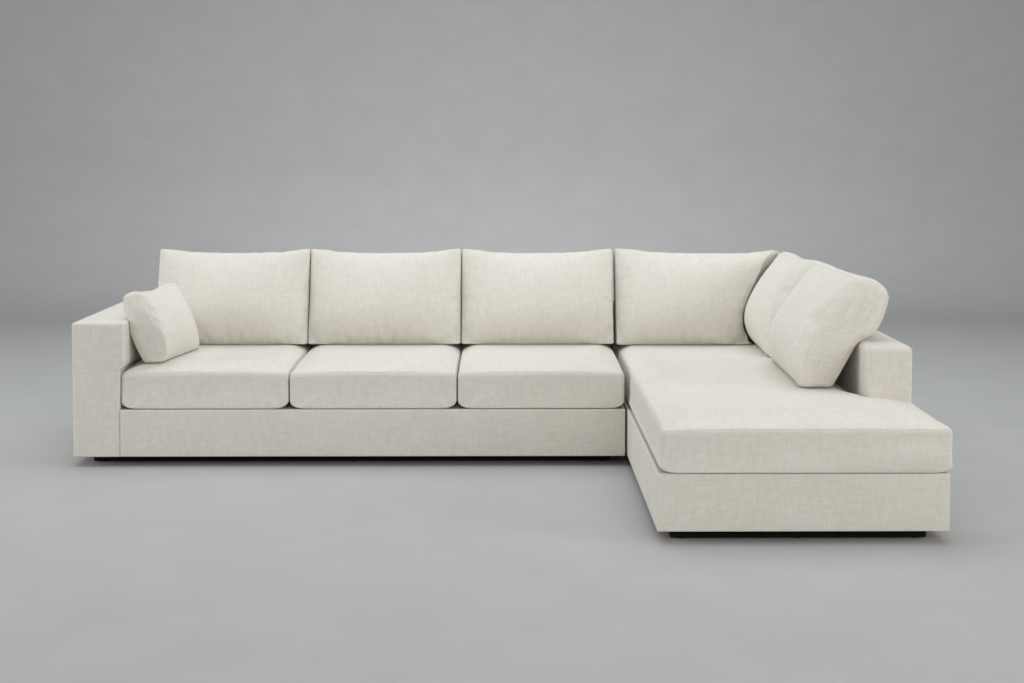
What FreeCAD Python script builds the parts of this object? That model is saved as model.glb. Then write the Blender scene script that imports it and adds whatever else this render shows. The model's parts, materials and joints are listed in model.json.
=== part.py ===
import FreeCAD, Part
import math
import os

from FreeCAD import Vector

# Frame: millimetres, +Z up, +Y to the rear, +X to the right as seen from the front.
# The origin is on the floor, under the middle of the whole footprint.

# Overall layout of the two units
SEAT_PITCH = 750.0            # width of one seat of the sofa unit
SEAT_COUNT = 3
ARM_WIDTH = 210.0             # left arm, below the deck
UNIT_GAP = 10.0               # between the sofa unit and the chaise unit
CHAISE_WIDTH = 1056.0
UNIT_DEPTH = 1010.0           # sofa unit, front to rear
CHAISE_PROJECTION = 1230.0    # how far the chaise unit stands out in front
BACK_THICKNESS = 180.0        # rear back
LOW_BACK_THICKNESS = 178.0    # side back of the chaise unit
LOW_BACK_SETBACK = 480.0      # bare front of the chaise, before the low back starts

# Heights
BASE_BOTTOM = 45.0
DECK_TOP = 255.0
ARM_TOP = 645.0

# Upholstery and boards
COVER = 12.0                  # padded cover over the frame
ARM_PAD = 22.0                # extra padding on the inside of the arm, above the seat
ARM_PAD_BOTTOM = 438.0
EDGE_ROUND = 13.0             # rounded edges of arm and backs
BAND_ROUND = 5.0              # rounded edges of the thin base panels
DECK_THICKNESS = 17.0
BOARD = 22.0                  # frame boards
POST_WIDTH = 60.0
RAIL_HEIGHT = 120.0           # top and bottom rails of the arm and back frames
BLOCK_LEG = 90.0              # corner blocks

# Springs, clips and bolts
WIRE_RADIUS = 1.8
SPRING_BAR = 34.0             # straight bar of a sinuous spring
SPRING_STEP = 38.0            # from one bar to the next, about
SPRINGS_PER_SEAT = 4
CHAISE_SPRING_PITCH = 190.0
CLIP_WIDTH = 14.0
CLIP_LENGTH = 16.0
CLIP_HEIGHT = 5.6
CLIP_BORE_PLAY = 0.1
BOLT_RADIUS = 4.0
BOLT_PLAY = 0.25
BOLT_HEAD_RADIUS = 7.5
BOLT_HEAD = 5.5
BOLT_TAIL = 12.0
BOLT_COUNT = 3
BOLT_HEIGHT = 140.0

# Plinths, dust sheets and glides
DUST_SHEET = 1.5
DUST_MARGIN = 10.0
PLINTH_BOARD = 20.0
SOFA_PLINTH_FRONT = 100.0     # recess behind the front plane
CHAISE_PLINTH_FRONT = 70.0
PLINTH_REAR = 60.0
PLINTH_OUTER_END = 65.0
PLINTH_JOINT_END = 56.0       # recess beside the gap between the units
GLIDE_HEIGHT = 4.0
GLIDE_RADIUS = 9.0
GLIDES_PER_RAIL = 3

# Sectional connectors under the units
TONGUE_WIDTH = 30.0
TONGUE_THICKNESS = 3.0
TONGUE_REACH = 34.0           # into the jaw
TONGUE_FOOT = 40.0
CONNECTOR_PLAY = 0.3
JAW_WALL = 3.0
JAW_LENGTH = 38.0
JAW_INSET = 4.0
CONNECTOR_INSETS = (140.0, 740.0)   # behind the front plane of the sofa unit

# Seat cushions
REST_GAP = 0.3                # a cushion over what carries it
SEAT_PLAY = 1.5               # each side of a seat cushion
SEAT_CROWN_TOP = 456.0
SEAT_EDGE_TOP = 428.0
SEAT_CROWN_RUN = 240.0        # from the side edge to the flat of the crown
SEAT_NOSE_DEPTH = 320.0       # the top falls to the front over this depth
SEAT_NOSE_FALL = 30.0
SEAT_EDGE_FALL = 10.0
SEAT_ROLL = 24.0              # rounding of the front edges
SEAT_REAR_ROLL = 14.0
SEAT_ROLL_INSET = 15.0
SEAT_CORNER_WIDTH = 40.0      # rounded lower corners
SEAT_CORNER_HEIGHT = 16.0
SEAT_EDGE_SOFT = 12.0
SEAT_SIDE_BULGE = 1.0
CHAISE_CROWN_TOP = 452.0
CHAISE_OVERHANG = 10.0        # the chaise cushion past the base, in front
CHAISE_SIDE_OVERHANG = 4.0
CHAISE_SIDE_BULGE = 11.0      # its free right side

# Leaning cushions: lean from the vertical, size along the lean, thickness at the seams
BACK_LEAN = 19.5
BACK_TOP = 911.0
BACK_SEAM = 136.0
BACK_BELLY = 100.0
BACK_PLAY = 1.5
SIDE_LEANS = (20.7, 24.6, 29.0)   # in the rear corner, between the two cushions, at the free end
SIDE_LENGTHS = (655.0, 770.0)     # far and near side cushion
SIDE_TOP = 904.0
SIDE_SEAM = 119.0
SIDE_BELLY = 112.0
SIDE_PLAY = 1.5
PILLOW_LEAN = 22.0
PILLOW_TOP = 772.0
PILLOW_SEAM = 84.0
PILLOW_BELLY = 60.0
PILLOW_LENGTH = 430.0
PILLOW_START = 115.0          # behind the front plane of the sofa unit
PILLOW_TURN = 10.0            # in plan, its far end away from the arm
BELLY_HEIGHT = 0.36           # of the front face, from the bottom
EAR = 9.0                     # how far the top corners stand up
END_DRAW = 15.0               # the ends draw in by this much
CUSHION_CORNER = 16.0
TOP_BULGE = 6.0
CORNER_CUT_PLAY = 4.0         # between the last rear cushion and the side cushion
CORNER_CUT_TURN = 28.0        # in plan, the squeezed end of the last rear cushion
SKIN = 4.0                    # cushion cover with its wadding
CORE_PLAY = 0.4

# Places worked out from the sizes above
SOFA_WIDTH = ARM_WIDTH + SEAT_COUNT * SEAT_PITCH
TOTAL_WIDTH = SOFA_WIDTH + UNIT_GAP + CHAISE_WIDTH
TOTAL_DEPTH = UNIT_DEPTH + CHAISE_PROJECTION
LEFT = -TOTAL_WIDTH / 2
RIGHT = TOTAL_WIDTH / 2
FRONT = -TOTAL_DEPTH / 2
REAR = TOTAL_DEPTH / 2
SOFA_FRONT = FRONT + CHAISE_PROJECTION
SEAT_LEFT = LEFT + ARM_WIDTH
SOFA_RIGHT = LEFT + SOFA_WIDTH
CHAISE_LEFT = SOFA_RIGHT + UNIT_GAP
ARM_INSIDE = SEAT_LEFT + ARM_PAD
BACK_INSIDE = REAR - BACK_THICKNESS
LOW_BACK_INSIDE = RIGHT - LOW_BACK_THICKNESS
LOW_BACK_FRONT = FRONT + LOW_BACK_SETBACK
RAIL_TOP = DECK_TOP - DECK_THICKNESS - REST_GAP - CLIP_HEIGHT
WIRE_HEIGHT = RAIL_TOP + CLIP_HEIGHT / 2
SHEET_BOTTOM = BASE_BOTTOM - DUST_SHEET


def box(x0, x1, y0, y1, z0, z1):
    """A block between two corners."""
    return Part.makeBox(x1 - x0, y1 - y0, z1 - z0, Vector(x0, y0, z0))


def rounded(shape, radius, wanted):
    """The shape with a fillet on each edge that the wanted test picks."""
    edges = [edge for edge in shape.Edges if wanted(edge)]
    return shape.makeFillet(radius, edges)


def save(name, shapes):
    """Writes one node, a single solid or a group of separate ones."""
    shape = shapes[0] if len(shapes) == 1 else Part.makeCompound(shapes)
    shape.exportStep("parts/" + name + ".step")
    print(name, "solids", len(shape.Solids), "volume", round(shape.Volume / 1e6, 3), "valid", shape.isValid())


# Upholstered boxes and panels

def above_base(edge):
    """Picks every edge but those of the bottom face."""
    return edge.BoundBox.ZMax > BASE_BOTTOM + 1.0


def upholstered_box(x0, x1, y0, y1):
    """A hollow padded cover from the base bottom to the arm height, open below."""
    outer = rounded(box(x0, x1, y0, y1, BASE_BOTTOM, ARM_TOP), EDGE_ROUND, above_base)
    hollow = box(x0 + COVER, x1 - COVER, y0 + COVER, y1 - COVER, BASE_BOTTOM - 1.0, ARM_TOP - COVER)
    return outer.cut(hollow)


def arm_cover():
    """The arm's cover: thicker padding on its inside, above the seat and before the rear back."""
    outer = rounded(box(LEFT, ARM_INSIDE, SOFA_FRONT, REAR, BASE_BOTTOM, ARM_TOP), EDGE_ROUND, above_base)
    below = box(SEAT_LEFT, ARM_INSIDE + 1.0, SOFA_FRONT - 1.0, REAR + 1.0, BASE_BOTTOM - 1.0, ARM_PAD_BOTTOM)
    behind = box(SEAT_LEFT, ARM_INSIDE + 1.0, BACK_INSIDE, REAR + 1.0, BASE_BOTTOM - 1.0, ARM_TOP + 1.0)
    hollow = box(LEFT + COVER, SEAT_LEFT - COVER, SOFA_FRONT + COVER, REAR - COVER, BASE_BOTTOM - 1.0, ARM_TOP - COVER)
    return outer.cut(below).cut(behind).cut(hollow)


def panel(x0, x1, y0, y1):
    """A thin padded panel of the base, with its long edges rounded."""
    block = box(x0, x1, y0, y1, BASE_BOTTOM, DECK_TOP)
    return rounded(block, BAND_ROUND, lambda edge: abs(edge.BoundBox.ZLength) < 1.0 and edge.Length > 2 * COVER)


# Wooden frames

def wall_frame(along, x0, x1, y0, y1, z0, z1, posts):
    """One flat wall of a frame: bottom rail, top rail and posts between them."""
    boards = [box(x0, x1, y0, y1, z0, z0 + RAIL_HEIGHT), box(x0, x1, y0, y1, z1 - RAIL_HEIGHT, z1)]
    start, end = (x0, x1) if along == "X" else (y0, y1)
    for k in range(posts):
        p = start + (end - start - POST_WIDTH) * k / (posts - 1)
        low, high = z0 + RAIL_HEIGHT, z1 - RAIL_HEIGHT
        if along == "X":
            boards.append(box(p, p + POST_WIDTH, y0, y1, low, high))
        else:
            boards.append(box(x0, x1, p, p + POST_WIDTH, low, high))
    return boards


def box_frame(along, x0, x1, y0, y1, posts):
    """The frame inside an upholstered box: two walls and a top board."""
    xa, xb = x0 + COVER, x1 - COVER
    ya, yb = y0 + COVER, y1 - COVER
    top = ARM_TOP - COVER
    boards = [box(xa, xb, ya, yb, top - BOARD, top)]
    if along == "X":
        boards += wall_frame("X", xa, xb, ya, ya + BOARD, BASE_BOTTOM, top - BOARD, posts)
        boards += wall_frame("X", xa, xb, yb - BOARD, yb, BASE_BOTTOM, top - BOARD, posts)
    else:
        boards += wall_frame("Y", xa, xa + BOARD, ya, yb, BASE_BOTTOM, top - BOARD, posts)
        boards += wall_frame("Y", xb - BOARD, xb, ya, yb, BASE_BOTTOM, top - BOARD, posts)
    return boards


def rail(x0, x1, y0, y1):
    """A base board on edge."""
    return box(x0, x1, y0, y1, BASE_BOTTOM, RAIL_TOP)


def corner_block(x, y, dx, dy):
    """A triangular block in a corner of the base frame; dx and dy point inwards."""
    low = BASE_BOTTOM + POST_WIDTH / 2
    points = [Vector(x, y, low), Vector(x + dx * BLOCK_LEG, y, low), Vector(x, y + dy * BLOCK_LEG, low)]
    face = Part.Face(Part.makePolygon(points + points[:1]))
    return face.extrude(Vector(0, 0, POST_WIDTH))


# Springs and clips

def spring(start, span, along):
    """A sinuous spring: straight bars joined by half turns, one unbroken wire."""
    steps = max(2, round(span / SPRING_STEP))
    pitch = span / steps
    half = SPRING_BAR / 2
    edges = []
    for k in range(steps + 1):
        side = 1 if k % 2 == 0 else -1
        a = (-side * half, k * pitch)
        b = (side * half, k * pitch)
        edges.append(Part.LineSegment(spot(a, start, along), spot(b, start, along)).toShape())
        if k < steps:
            middle = (side * (half + pitch / 2), (k + 0.5) * pitch)
            after = (side * half, (k + 1) * pitch)
            turn = Part.Arc(spot(b, start, along), spot(middle, start, along), spot(after, start, along))
            edges.append(turn.toShape())
    path = Part.Wire(edges)
    direction = spot((1, 0), start, along) - spot((0, 0), start, along)
    ring = Part.Wire(Part.makeCircle(WIRE_RADIUS, spot((-half, 0), start, along), direction))
    return path.makePipeShell([ring], True, False)


def spot(point, start, along):
    """A point of a spring's flat pattern, (across, along), at its place on the rails."""
    across, forward = point
    x, y = start
    if along == "Y":
        return Vector(x + across, y + forward, WIRE_HEIGHT)
    return Vector(x + forward, y + across, WIRE_HEIGHT)


def clip(point, along):
    """A clip on the rail with a bore for the spring's end bar."""
    x, y = point
    half_w, half_l = CLIP_WIDTH / 2, CLIP_LENGTH / 2
    if along == "X":
        half_w, half_l = half_l, half_w
    block = box(x - half_w, x + half_w, y - half_l, y + half_l, RAIL_TOP, RAIL_TOP + CLIP_HEIGHT)
    axis = Vector(1, 0, 0) if along == "Y" else Vector(0, 1, 0)
    bore = Part.makeCylinder(WIRE_RADIUS + CLIP_BORE_PLAY, 4 * CLIP_LENGTH,
                             Vector(x, y, WIRE_HEIGHT) - axis * 2 * CLIP_LENGTH, axis)
    return block.cut(bore)


# Bolts, plinths, glides and connectors

def arm_bolt_places():
    """Bolts along the side of the arm, evenly spaced behind the front rail."""
    start, end = SOFA_FRONT + COVER + BOARD, BACK_INSIDE - BOARD
    return [start + (end - start) * (k + 0.5) / BOLT_COUNT for k in range(BOLT_COUNT)]


def bolt_holes(shape):
    """The board with a hole at each arm bolt."""
    for y in arm_bolt_places():
        start = Vector(SEAT_LEFT - COVER - 2 * BOARD, y, BOLT_HEIGHT)
        shape = shape.cut(Part.makeCylinder(BOLT_RADIUS + BOLT_PLAY, 4 * BOARD + 2 * COVER, start, Vector(1, 0, 0)))
    return shape


def hexagon(x, y, z, radius, length):
    """A hexagonal prism along X, such as a bolt's head or a nut."""
    points = []
    for k in range(7):
        angle = math.radians(60 * k)
        points.append(Vector(x, y + radius * math.cos(angle), z + radius * math.sin(angle)))
    return Part.Face(Part.makePolygon(points)).extrude(Vector(length, 0, 0))


def arm_bolt(y):
    """A bolt from the base frame through the cover into the arm frame, with its nut."""
    head_at = SEAT_LEFT + BOARD
    nut_at = SEAT_LEFT - COVER - BOARD - BOLT_HEAD
    tail_at = SEAT_LEFT - COVER - BOARD - BOLT_TAIL
    shank = Part.makeCylinder(BOLT_RADIUS, head_at - tail_at, Vector(tail_at, y, BOLT_HEIGHT), Vector(1, 0, 0))
    bolt = shank.fuse(hexagon(head_at, y, BOLT_HEIGHT, BOLT_HEAD_RADIUS, BOLT_HEAD))
    nut = hexagon(nut_at, y, BOLT_HEIGHT, BOLT_HEAD_RADIUS, BOLT_HEAD)
    bore = Part.makeCylinder(BOLT_RADIUS + CLIP_BORE_PLAY, 2 * BOLT_TAIL,
                             Vector(tail_at - BOLT_TAIL / 2, y, BOLT_HEIGHT), Vector(1, 0, 0))
    return [bolt, nut.cut(bore)]


def plinth(x0, x1, y0, y1):
    """Four dark boards on edge, recessed under a unit."""
    t = PLINTH_BOARD
    low, high = GLIDE_HEIGHT, SHEET_BOTTOM
    return [box(x0, x1, y0, y0 + t, low, high), box(x0, x1, y1 - t, y1, low, high),
            box(x0, x0 + t, y0 + t, y1 - t, low, high), box(x1 - t, x1, y0 + t, y1 - t, low, high)]


def glides(x0, x1, y0, y1):
    """Round glides under the front and rear plinth boards."""
    discs = []
    inner = 2 * PLINTH_BOARD
    for y in (y0 + PLINTH_BOARD / 2, y1 - PLINTH_BOARD / 2):
        for k in range(GLIDES_PER_RAIL):
            x = x0 + inner + (x1 - x0 - 2 * inner) * k / (GLIDES_PER_RAIL - 1)
            discs.append(Part.makeCylinder(GLIDE_RADIUS, GLIDE_HEIGHT, Vector(x, y, 0)))
    return discs


def tongue_levels():
    """Lower and upper face of the connector tongues."""
    top = BASE_BOTTOM - JAW_WALL - CONNECTOR_PLAY
    return top - TONGUE_THICKNESS, top


def jaw(y):
    """A channel under the sofa unit's end rail that takes the tongue."""
    low, high = tongue_levels()
    x1 = SOFA_RIGHT - JAW_INSET
    x0 = x1 - JAW_LENGTH
    half = TONGUE_WIDTH / 2 + CONNECTOR_PLAY
    outer = box(x0, x1, y - half - JAW_WALL, y + half + JAW_WALL, low - CONNECTOR_PLAY - JAW_WALL, BASE_BOTTOM)
    slot = box(x0 - 1.0, x1 + 1.0, y - half, y + half, low - CONNECTOR_PLAY, high + CONNECTOR_PLAY)
    return outer.cut(slot)


def tongue(y):
    """A flat tongue with its foot under the chaise unit's side rail."""
    low, high = tongue_levels()
    half = TONGUE_WIDTH / 2
    tip = SOFA_RIGHT - JAW_INSET - TONGUE_REACH
    foot = CHAISE_LEFT + JAW_INSET
    blade = box(tip, foot + TONGUE_FOOT, y - half, y + half, low, high)
    return blade.fuse(box(foot, foot + TONGUE_FOOT, y - half, y + half, high, BASE_BOTTOM))


# Outlines of soft pieces, made of lines and arcs

def straight(a, b):
    return (a, None, b)


def bowed(a, b, sag):
    """An arc from a to b that stands out to the right of the way by sag."""
    dx, dz = b[0] - a[0], b[1] - a[1]
    size = math.hypot(dx, dz)
    return (a, ((a[0] + b[0]) / 2 + dz / size * sag, (a[1] + b[1]) / 2 - dx / size * sag), b)


def round_corner(a, corner, b):
    """An arc from a to b, close to the fillet of the corner between them."""
    share = 0.586
    middle = ((a[0] + b[0]) / 2, (a[1] + b[1]) / 2)
    return (a, (corner[0] + (middle[0] - corner[0]) * share, corner[1] + (middle[1] - corner[1]) * share), b)


def tangent_arc(a, b, touch, direction):
    """The arc from a to b whose tangent at the touch end runs along the direction."""
    far = b if touch == a else a
    normal = (-direction[1], direction[0])
    d = (far[0] - touch[0], far[1] - touch[1])
    radius = (d[0] ** 2 + d[1] ** 2) / (2 * (d[0] * normal[0] + d[1] * normal[1]))
    centre = (touch[0] + normal[0] * radius, touch[1] + normal[1] * radius)
    m = ((a[0] + b[0]) / 2 - centre[0], (a[1] + b[1]) / 2 - centre[1])
    scale = abs(radius) / math.hypot(m[0], m[1])
    return (a, (centre[0] + m[0] * scale, centre[1] + m[1] * scale), b)


def outline(pieces, place):
    """A closed wire from flat pieces, each put into space by the place function."""
    edges = []
    for a, middle, b in pieces:
        if middle is None:
            edges.append(Part.LineSegment(place(a), place(b)).toShape())
        else:
            edges.append(Part.Arc(place(a), place(middle), place(b)).toShape())
    return Part.Wire(edges)


def loft(wires):
    """A closed solid through the wires, straight from each wire to the next, so nothing overshoots."""
    solid = Part.makeLoft(wires, True, True)
    if solid.Volume < 0:
        solid.reverse()
    return solid.removeSplitter()


# Seat cushions, lofted from front to rear

def seat_outline(y, left, right, bottom, edge, crown, right_bulge):
    """The outline across a seat cushion: flat below, bowed sides, crowned top."""
    w, h, s = SEAT_CORNER_WIDTH, SEAT_CORNER_HEIGHT, SEAT_EDGE_SOFT
    run = SEAT_CROWN_RUN
    level = (1.0, 0.0)
    pieces = [
        straight((left + w, bottom), (right - w, bottom)),
        tangent_arc((right - w, bottom), (right, bottom + h), (right - w, bottom), level),
        bowed((right, bottom + h), (right, edge - s), right_bulge),
        round_corner((right, edge - s), (right, edge), (right - s, edge)),
        tangent_arc((right - s, edge), (right - run, crown), (right - run, crown), level),
        straight((right - run, crown), (left + run, crown)),
        tangent_arc((left + run, crown), (left + s, edge), (left + run, crown), level),
        round_corner((left + s, edge), (left, edge), (left, edge - s)),
        bowed((left, edge - s), (left, bottom + h), SEAT_SIDE_BULGE),
        tangent_arc((left, bottom + h), (left + w, bottom), (left + w, bottom), level),
    ]
    return outline(pieces, lambda p: Vector(p[0], y, p[1]))


def roll_steps():
    """How far along a rounded edge each outline lies, and how much it still draws in."""
    angles = [math.radians(a) for a in (0, 25, 55, 90)]
    return [(1 - math.cos(a), 1 - math.sin(a)) for a in angles]


def seat_stations(front, rear, round_rear):
    """Places along a seat cushion: distance, share of the roll, distance from the front."""
    stations = []
    for along, draw in roll_steps():
        stations.append((front + SEAT_ROLL * along, draw))
    for share in (0.2, 0.4, 0.65, 1.0):
        stations.append((front + SEAT_NOSE_DEPTH * share, 0.0))
    if round_rear:
        for along, draw in reversed(roll_steps()):
            stations.append((rear - SEAT_REAR_ROLL * along, draw))
    else:
        stations.append((rear, 0.0))
    return stations


def seat_solid(left, right, front, rear, crown_top, right_bulge, inset, nose=True, round_rear=True):
    """A box seat cushion, or its core when inset is more than nothing."""
    wires = []
    left, right = left + inset, right - inset
    start, end = front + (inset if nose else 0.0), rear - (inset if round_rear else 0.0)
    bottom = DECK_TOP + REST_GAP + inset
    if nose:
        stations = seat_stations(start, end, round_rear)
    else:
        stations = [(start, 0.0)]
        stations += [(end - SEAT_REAR_ROLL * along, draw) for along, draw in reversed(roll_steps())]
    for y, draw in stations:
        fall = max(0.0, 1 - (y - start) / SEAT_NOSE_DEPTH) ** 2 if nose else 0.0
        roll = SEAT_ROLL_INSET * draw
        edge = SEAT_EDGE_TOP - inset - SEAT_EDGE_FALL * fall - 1.6 * roll
        crown = crown_top - inset - SEAT_NOSE_FALL * fall - 1.5 * roll
        wires.append(seat_outline(y, left + roll, right - roll, bottom + roll, edge, crown, right_bulge))
    return loft(wires)


def cover_and_core(make):
    """A cushion's cover, hollow, and the core that fills it."""
    return make(0.0).cut(make(SKIN)), make(SKIN + CORE_PLAY)


def seat_cushion(index):
    """Seat cushion number index, from the left arm."""
    left = SEAT_LEFT + SEAT_PITCH * index + SEAT_PLAY
    right = SEAT_LEFT + SEAT_PITCH * (index + 1) - SEAT_PLAY

    def make(inset):
        return seat_solid(left, right, SOFA_FRONT, BACK_INSIDE - SEAT_PLAY, SEAT_CROWN_TOP, SEAT_SIDE_BULGE, inset)

    return cover_and_core(make)


def chaise_cushion():
    """The long cushion: full width in front of the low back, narrow beside it."""
    left = CHAISE_LEFT + SEAT_PLAY
    notch = LOW_BACK_FRONT - SEAT_PLAY

    def make(inset):
        wide = seat_solid(left, RIGHT + CHAISE_SIDE_OVERHANG, FRONT - CHAISE_OVERHANG, notch - inset,
                          CHAISE_CROWN_TOP, CHAISE_SIDE_BULGE, inset, True, False)
        narrow = seat_solid(left, LOW_BACK_INSIDE - SEAT_PLAY, notch - inset, BACK_INSIDE - SEAT_PLAY,
                            CHAISE_CROWN_TOP, SEAT_SIDE_BULGE, inset, False, True)
        return wide.fuse(narrow)

    return cover_and_core(make)


# Leaning cushions, lofted along their length

class Leaning:
    """A cushion that leans on the rounded top edge of a wall.

    n is the distance in front of the wall, z the height. The rear is flat along the lean,
    the bottom is flat, and the front swells from the seams to a belly.
    """

    def __init__(self, lean, bottom, top, seam, belly, inset):
        a = math.radians(lean)
        self.up = (-math.sin(a), math.cos(a))
        self.out = (math.cos(a), math.sin(a))
        edge = (-EDGE_ROUND, ARM_TOP - EDGE_ROUND)
        self.rear = edge[0] * self.out[0] + edge[1] * self.out[1] + EDGE_ROUND + REST_GAP + inset
        self.front = self.rear + seam - 2 * inset
        self.bottom = bottom + inset
        self.top = top - inset
        self.belly = belly

    def at_height(self, reach, z):
        """The point at height z that lies reach along the outward direction."""
        return ((reach - z * self.out[1]) / self.out[0], z)

    def moved(self, point, up, out):
        return (point[0] + self.up[0] * up + self.out[0] * out, point[1] + self.up[1] * up + self.out[1] * out)

    def corners(self, draw, ear):
        """Bottom rear, bottom front, top front and top rear corner, drawn in by draw."""
        rear, front = self.rear + 0.3 * draw, self.front - draw
        bottom = self.bottom + 0.8 * draw
        top_front = self.at_height(front, self.top + ear - draw)
        top_rear = self.moved(top_front, 0.0, rear - front)
        return self.at_height(rear, bottom), self.at_height(front, bottom), top_front, top_rear

    def belly_point(self, low, high, full):
        """The fullest point of the front between its lower and upper corner."""
        base = (low[0] + (high[0] - low[0]) * BELLY_HEIGHT, low[1] + (high[1] - low[1]) * BELLY_HEIGHT)
        return self.moved(base, 0.0, max(4.0, self.belly * full))

    def outline(self, draw, ear, full):
        """The outline across the cushion as flat pieces."""
        bottom_rear, bottom_front, top_front, top_rear = self.corners(draw, ear)
        c = CUSHION_CORNER
        belly = self.belly_point(bottom_front, top_front, full)
        floor_a = (bottom_rear[0] + c, bottom_rear[1])
        floor_b = (bottom_front[0] - c, bottom_front[1])
        front_a = self.moved(bottom_front, c, c * full)
        front_b = self.moved(top_front, -c, 0.0)
        top_a = self.moved(top_front, 0.0, -c)
        top_b = self.moved(top_rear, 0.0, c)
        rear_a = self.moved(top_rear, -c, 0.0)
        rear_b = self.moved(bottom_rear, c, 0.0)
        return [
            straight(floor_a, floor_b),
            tangent_arc(floor_b, front_a, floor_b, (1.0, 0.0)),
            tangent_arc(front_a, belly, belly, self.up),
            tangent_arc(belly, front_b, belly, self.up),
            round_corner(front_b, top_front, top_a),
            bowed(top_a, top_b, TOP_BULGE),
            round_corner(top_b, top_rear, rear_a),
            straight(rear_a, rear_b),
            tangent_arc(rear_b, floor_a, floor_a, (1.0, 0.0)),
        ]


def end_stations(length):
    """Places along a leaning cushion: distance, draw, ear and fullness, both ends alike."""
    near = []
    for along, draw in roll_steps():
        near.append((END_DRAW * 1.4 * along, END_DRAW * draw, EAR * (1 - draw), 0.10 + 0.10 * (1 - draw)))
    for share, ear, full in ((0.09, 0.8, 0.48), (0.18, 0.4, 0.75), (0.28, 0.15, 0.91), (0.39, 0.03, 0.98)):
        near.append((length * share, 0.0, EAR * ear, full))
    far = [(length - s, draw, ear, full) for s, draw, ear, full in reversed(near)]
    return near + [(length / 2, 0.0, 0.0, 1.0)] + far


def leaning_solid(form_at, length, inset, place):
    """The loft of a leaning cushion: form_at gives the form at a share of the length, and
    place puts (along, n, z) into space."""
    wires = []
    size = length - 2 * inset
    for along, draw, ear, full in end_stations(size):
        pieces = form_at(along / size).outline(draw, ear, full)
        wires.append(outline(pieces, lambda p, s=along + inset: place(s, p[0], p[1])))
    return loft(wires)


def rear_place(x0):
    return lambda s, n, z: Vector(x0 + s, BACK_INSIDE - n, z)


def side_place(y_far):
    return lambda s, n, z: Vector(LOW_BACK_INSIDE - n, y_far - s, z)


def back_cushion(index):
    """Back cushion number index on the sofa unit. The first one stands over the arm's padding."""
    left = SEAT_LEFT + SEAT_PITCH * index + BACK_PLAY
    right = SEAT_LEFT + SEAT_PITCH * (index + 1) - BACK_PLAY

    def make(inset):
        form = Leaning(BACK_LEAN, SEAT_CROWN_TOP + REST_GAP, BACK_TOP, BACK_SEAM, BACK_BELLY, inset)
        solid = leaning_solid(lambda share: form, right - left, inset, rear_place(left))
        if index == 0:
            beside = ARM_INSIDE + BACK_PLAY + inset
            solid = solid.cut(box(LEFT, beside, SOFA_FRONT, REAR, DECK_TOP, ARM_TOP + BACK_PLAY + inset))
        return solid

    return cover_and_core(make)


def side_form(index, share, inset):
    """The form of a side cushion at a share of its length; it leans more towards the front."""
    start, end = SIDE_LEANS[index:index + 2]
    lean = start + (end - start) * share
    return Leaning(lean, CHAISE_CROWN_TOP + REST_GAP, SIDE_TOP, SIDE_SEAM, SIDE_BELLY, inset)


def side_cushion(index):
    """Side cushion number index on the low back, from the rear corner."""
    far = BACK_INSIDE - SIDE_PLAY - sum(SIDE_LENGTHS[:index])

    def make(inset):
        return leaning_solid(lambda share: side_form(index, share, inset),
                             SIDE_LENGTHS[index] - SIDE_PLAY, inset, side_place(far))

    return cover_and_core(make)


def squeeze_plane():
    """A plane that holds the whole far side cushion on one side: its normal and its reach."""
    lean, turn = math.radians(SIDE_LEANS[0]), math.radians(CORNER_CUT_TURN)
    lift = Vector(math.sin(lean), 0, math.cos(lean))
    inward = Vector(-math.sin(turn), -math.cos(turn), 0)
    normal = inward.cross(lift)
    if normal.x > 0:
        normal = normal * -1
    normal.normalize()
    place = side_place(BACK_INSIDE - SIDE_PLAY)
    length = SIDE_LENGTHS[0] - SIDE_PLAY
    reach = -1e9
    for along, draw, ear, full in end_stations(length):
        for a, middle, b in side_form(0, along / length, 0.0).outline(draw, ear, full):
            for p in (a, middle or a, b):
                reach = max(reach, normal.dot(place(along, p[0], p[1])))
    return normal, reach


def corner_back_cushion():
    """The last rear cushion, its right end squeezed flat beside the side cushion."""
    left = CHAISE_LEFT + BACK_PLAY
    right = LOW_BACK_INSIDE
    normal, reach = squeeze_plane()

    def make(inset):
        form = Leaning(BACK_LEAN, CHAISE_CROWN_TOP + REST_GAP, BACK_TOP, BACK_SEAM, BACK_BELLY, inset)
        solid = leaning_solid(lambda share: form, right - left, inset, rear_place(left))
        size = TOTAL_WIDTH
        tool = Part.makeBox(size, size, size, Vector(-size, -size / 2, -size / 2))
        tool.Placement = FreeCAD.Placement(Vector(0, 0, 0), FreeCAD.Rotation(Vector(1, 0, 0), normal))
        tool.translate(normal * (reach + CORNER_CUT_PLAY + inset))
        return solid.cut(tool)

    return cover_and_core(make)


def arm_pillow():
    """The small pillow that leans on the arm, its far end turned off the arm a little."""
    start = SOFA_FRONT + PILLOW_START

    def make(inset):
        form = Leaning(PILLOW_LEAN, SEAT_CROWN_TOP + REST_GAP, PILLOW_TOP, PILLOW_SEAM, PILLOW_BELLY, inset)
        solid = leaning_solid(lambda share: form, PILLOW_LENGTH, inset,
                              lambda s, n, z: Vector(ARM_INSIDE + n, start + s, z))
        solid.rotate(Vector(ARM_INSIDE, start, 0), Vector(0, 0, 1), -PILLOW_TURN)
        return solid

    return cover_and_core(make)


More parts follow.
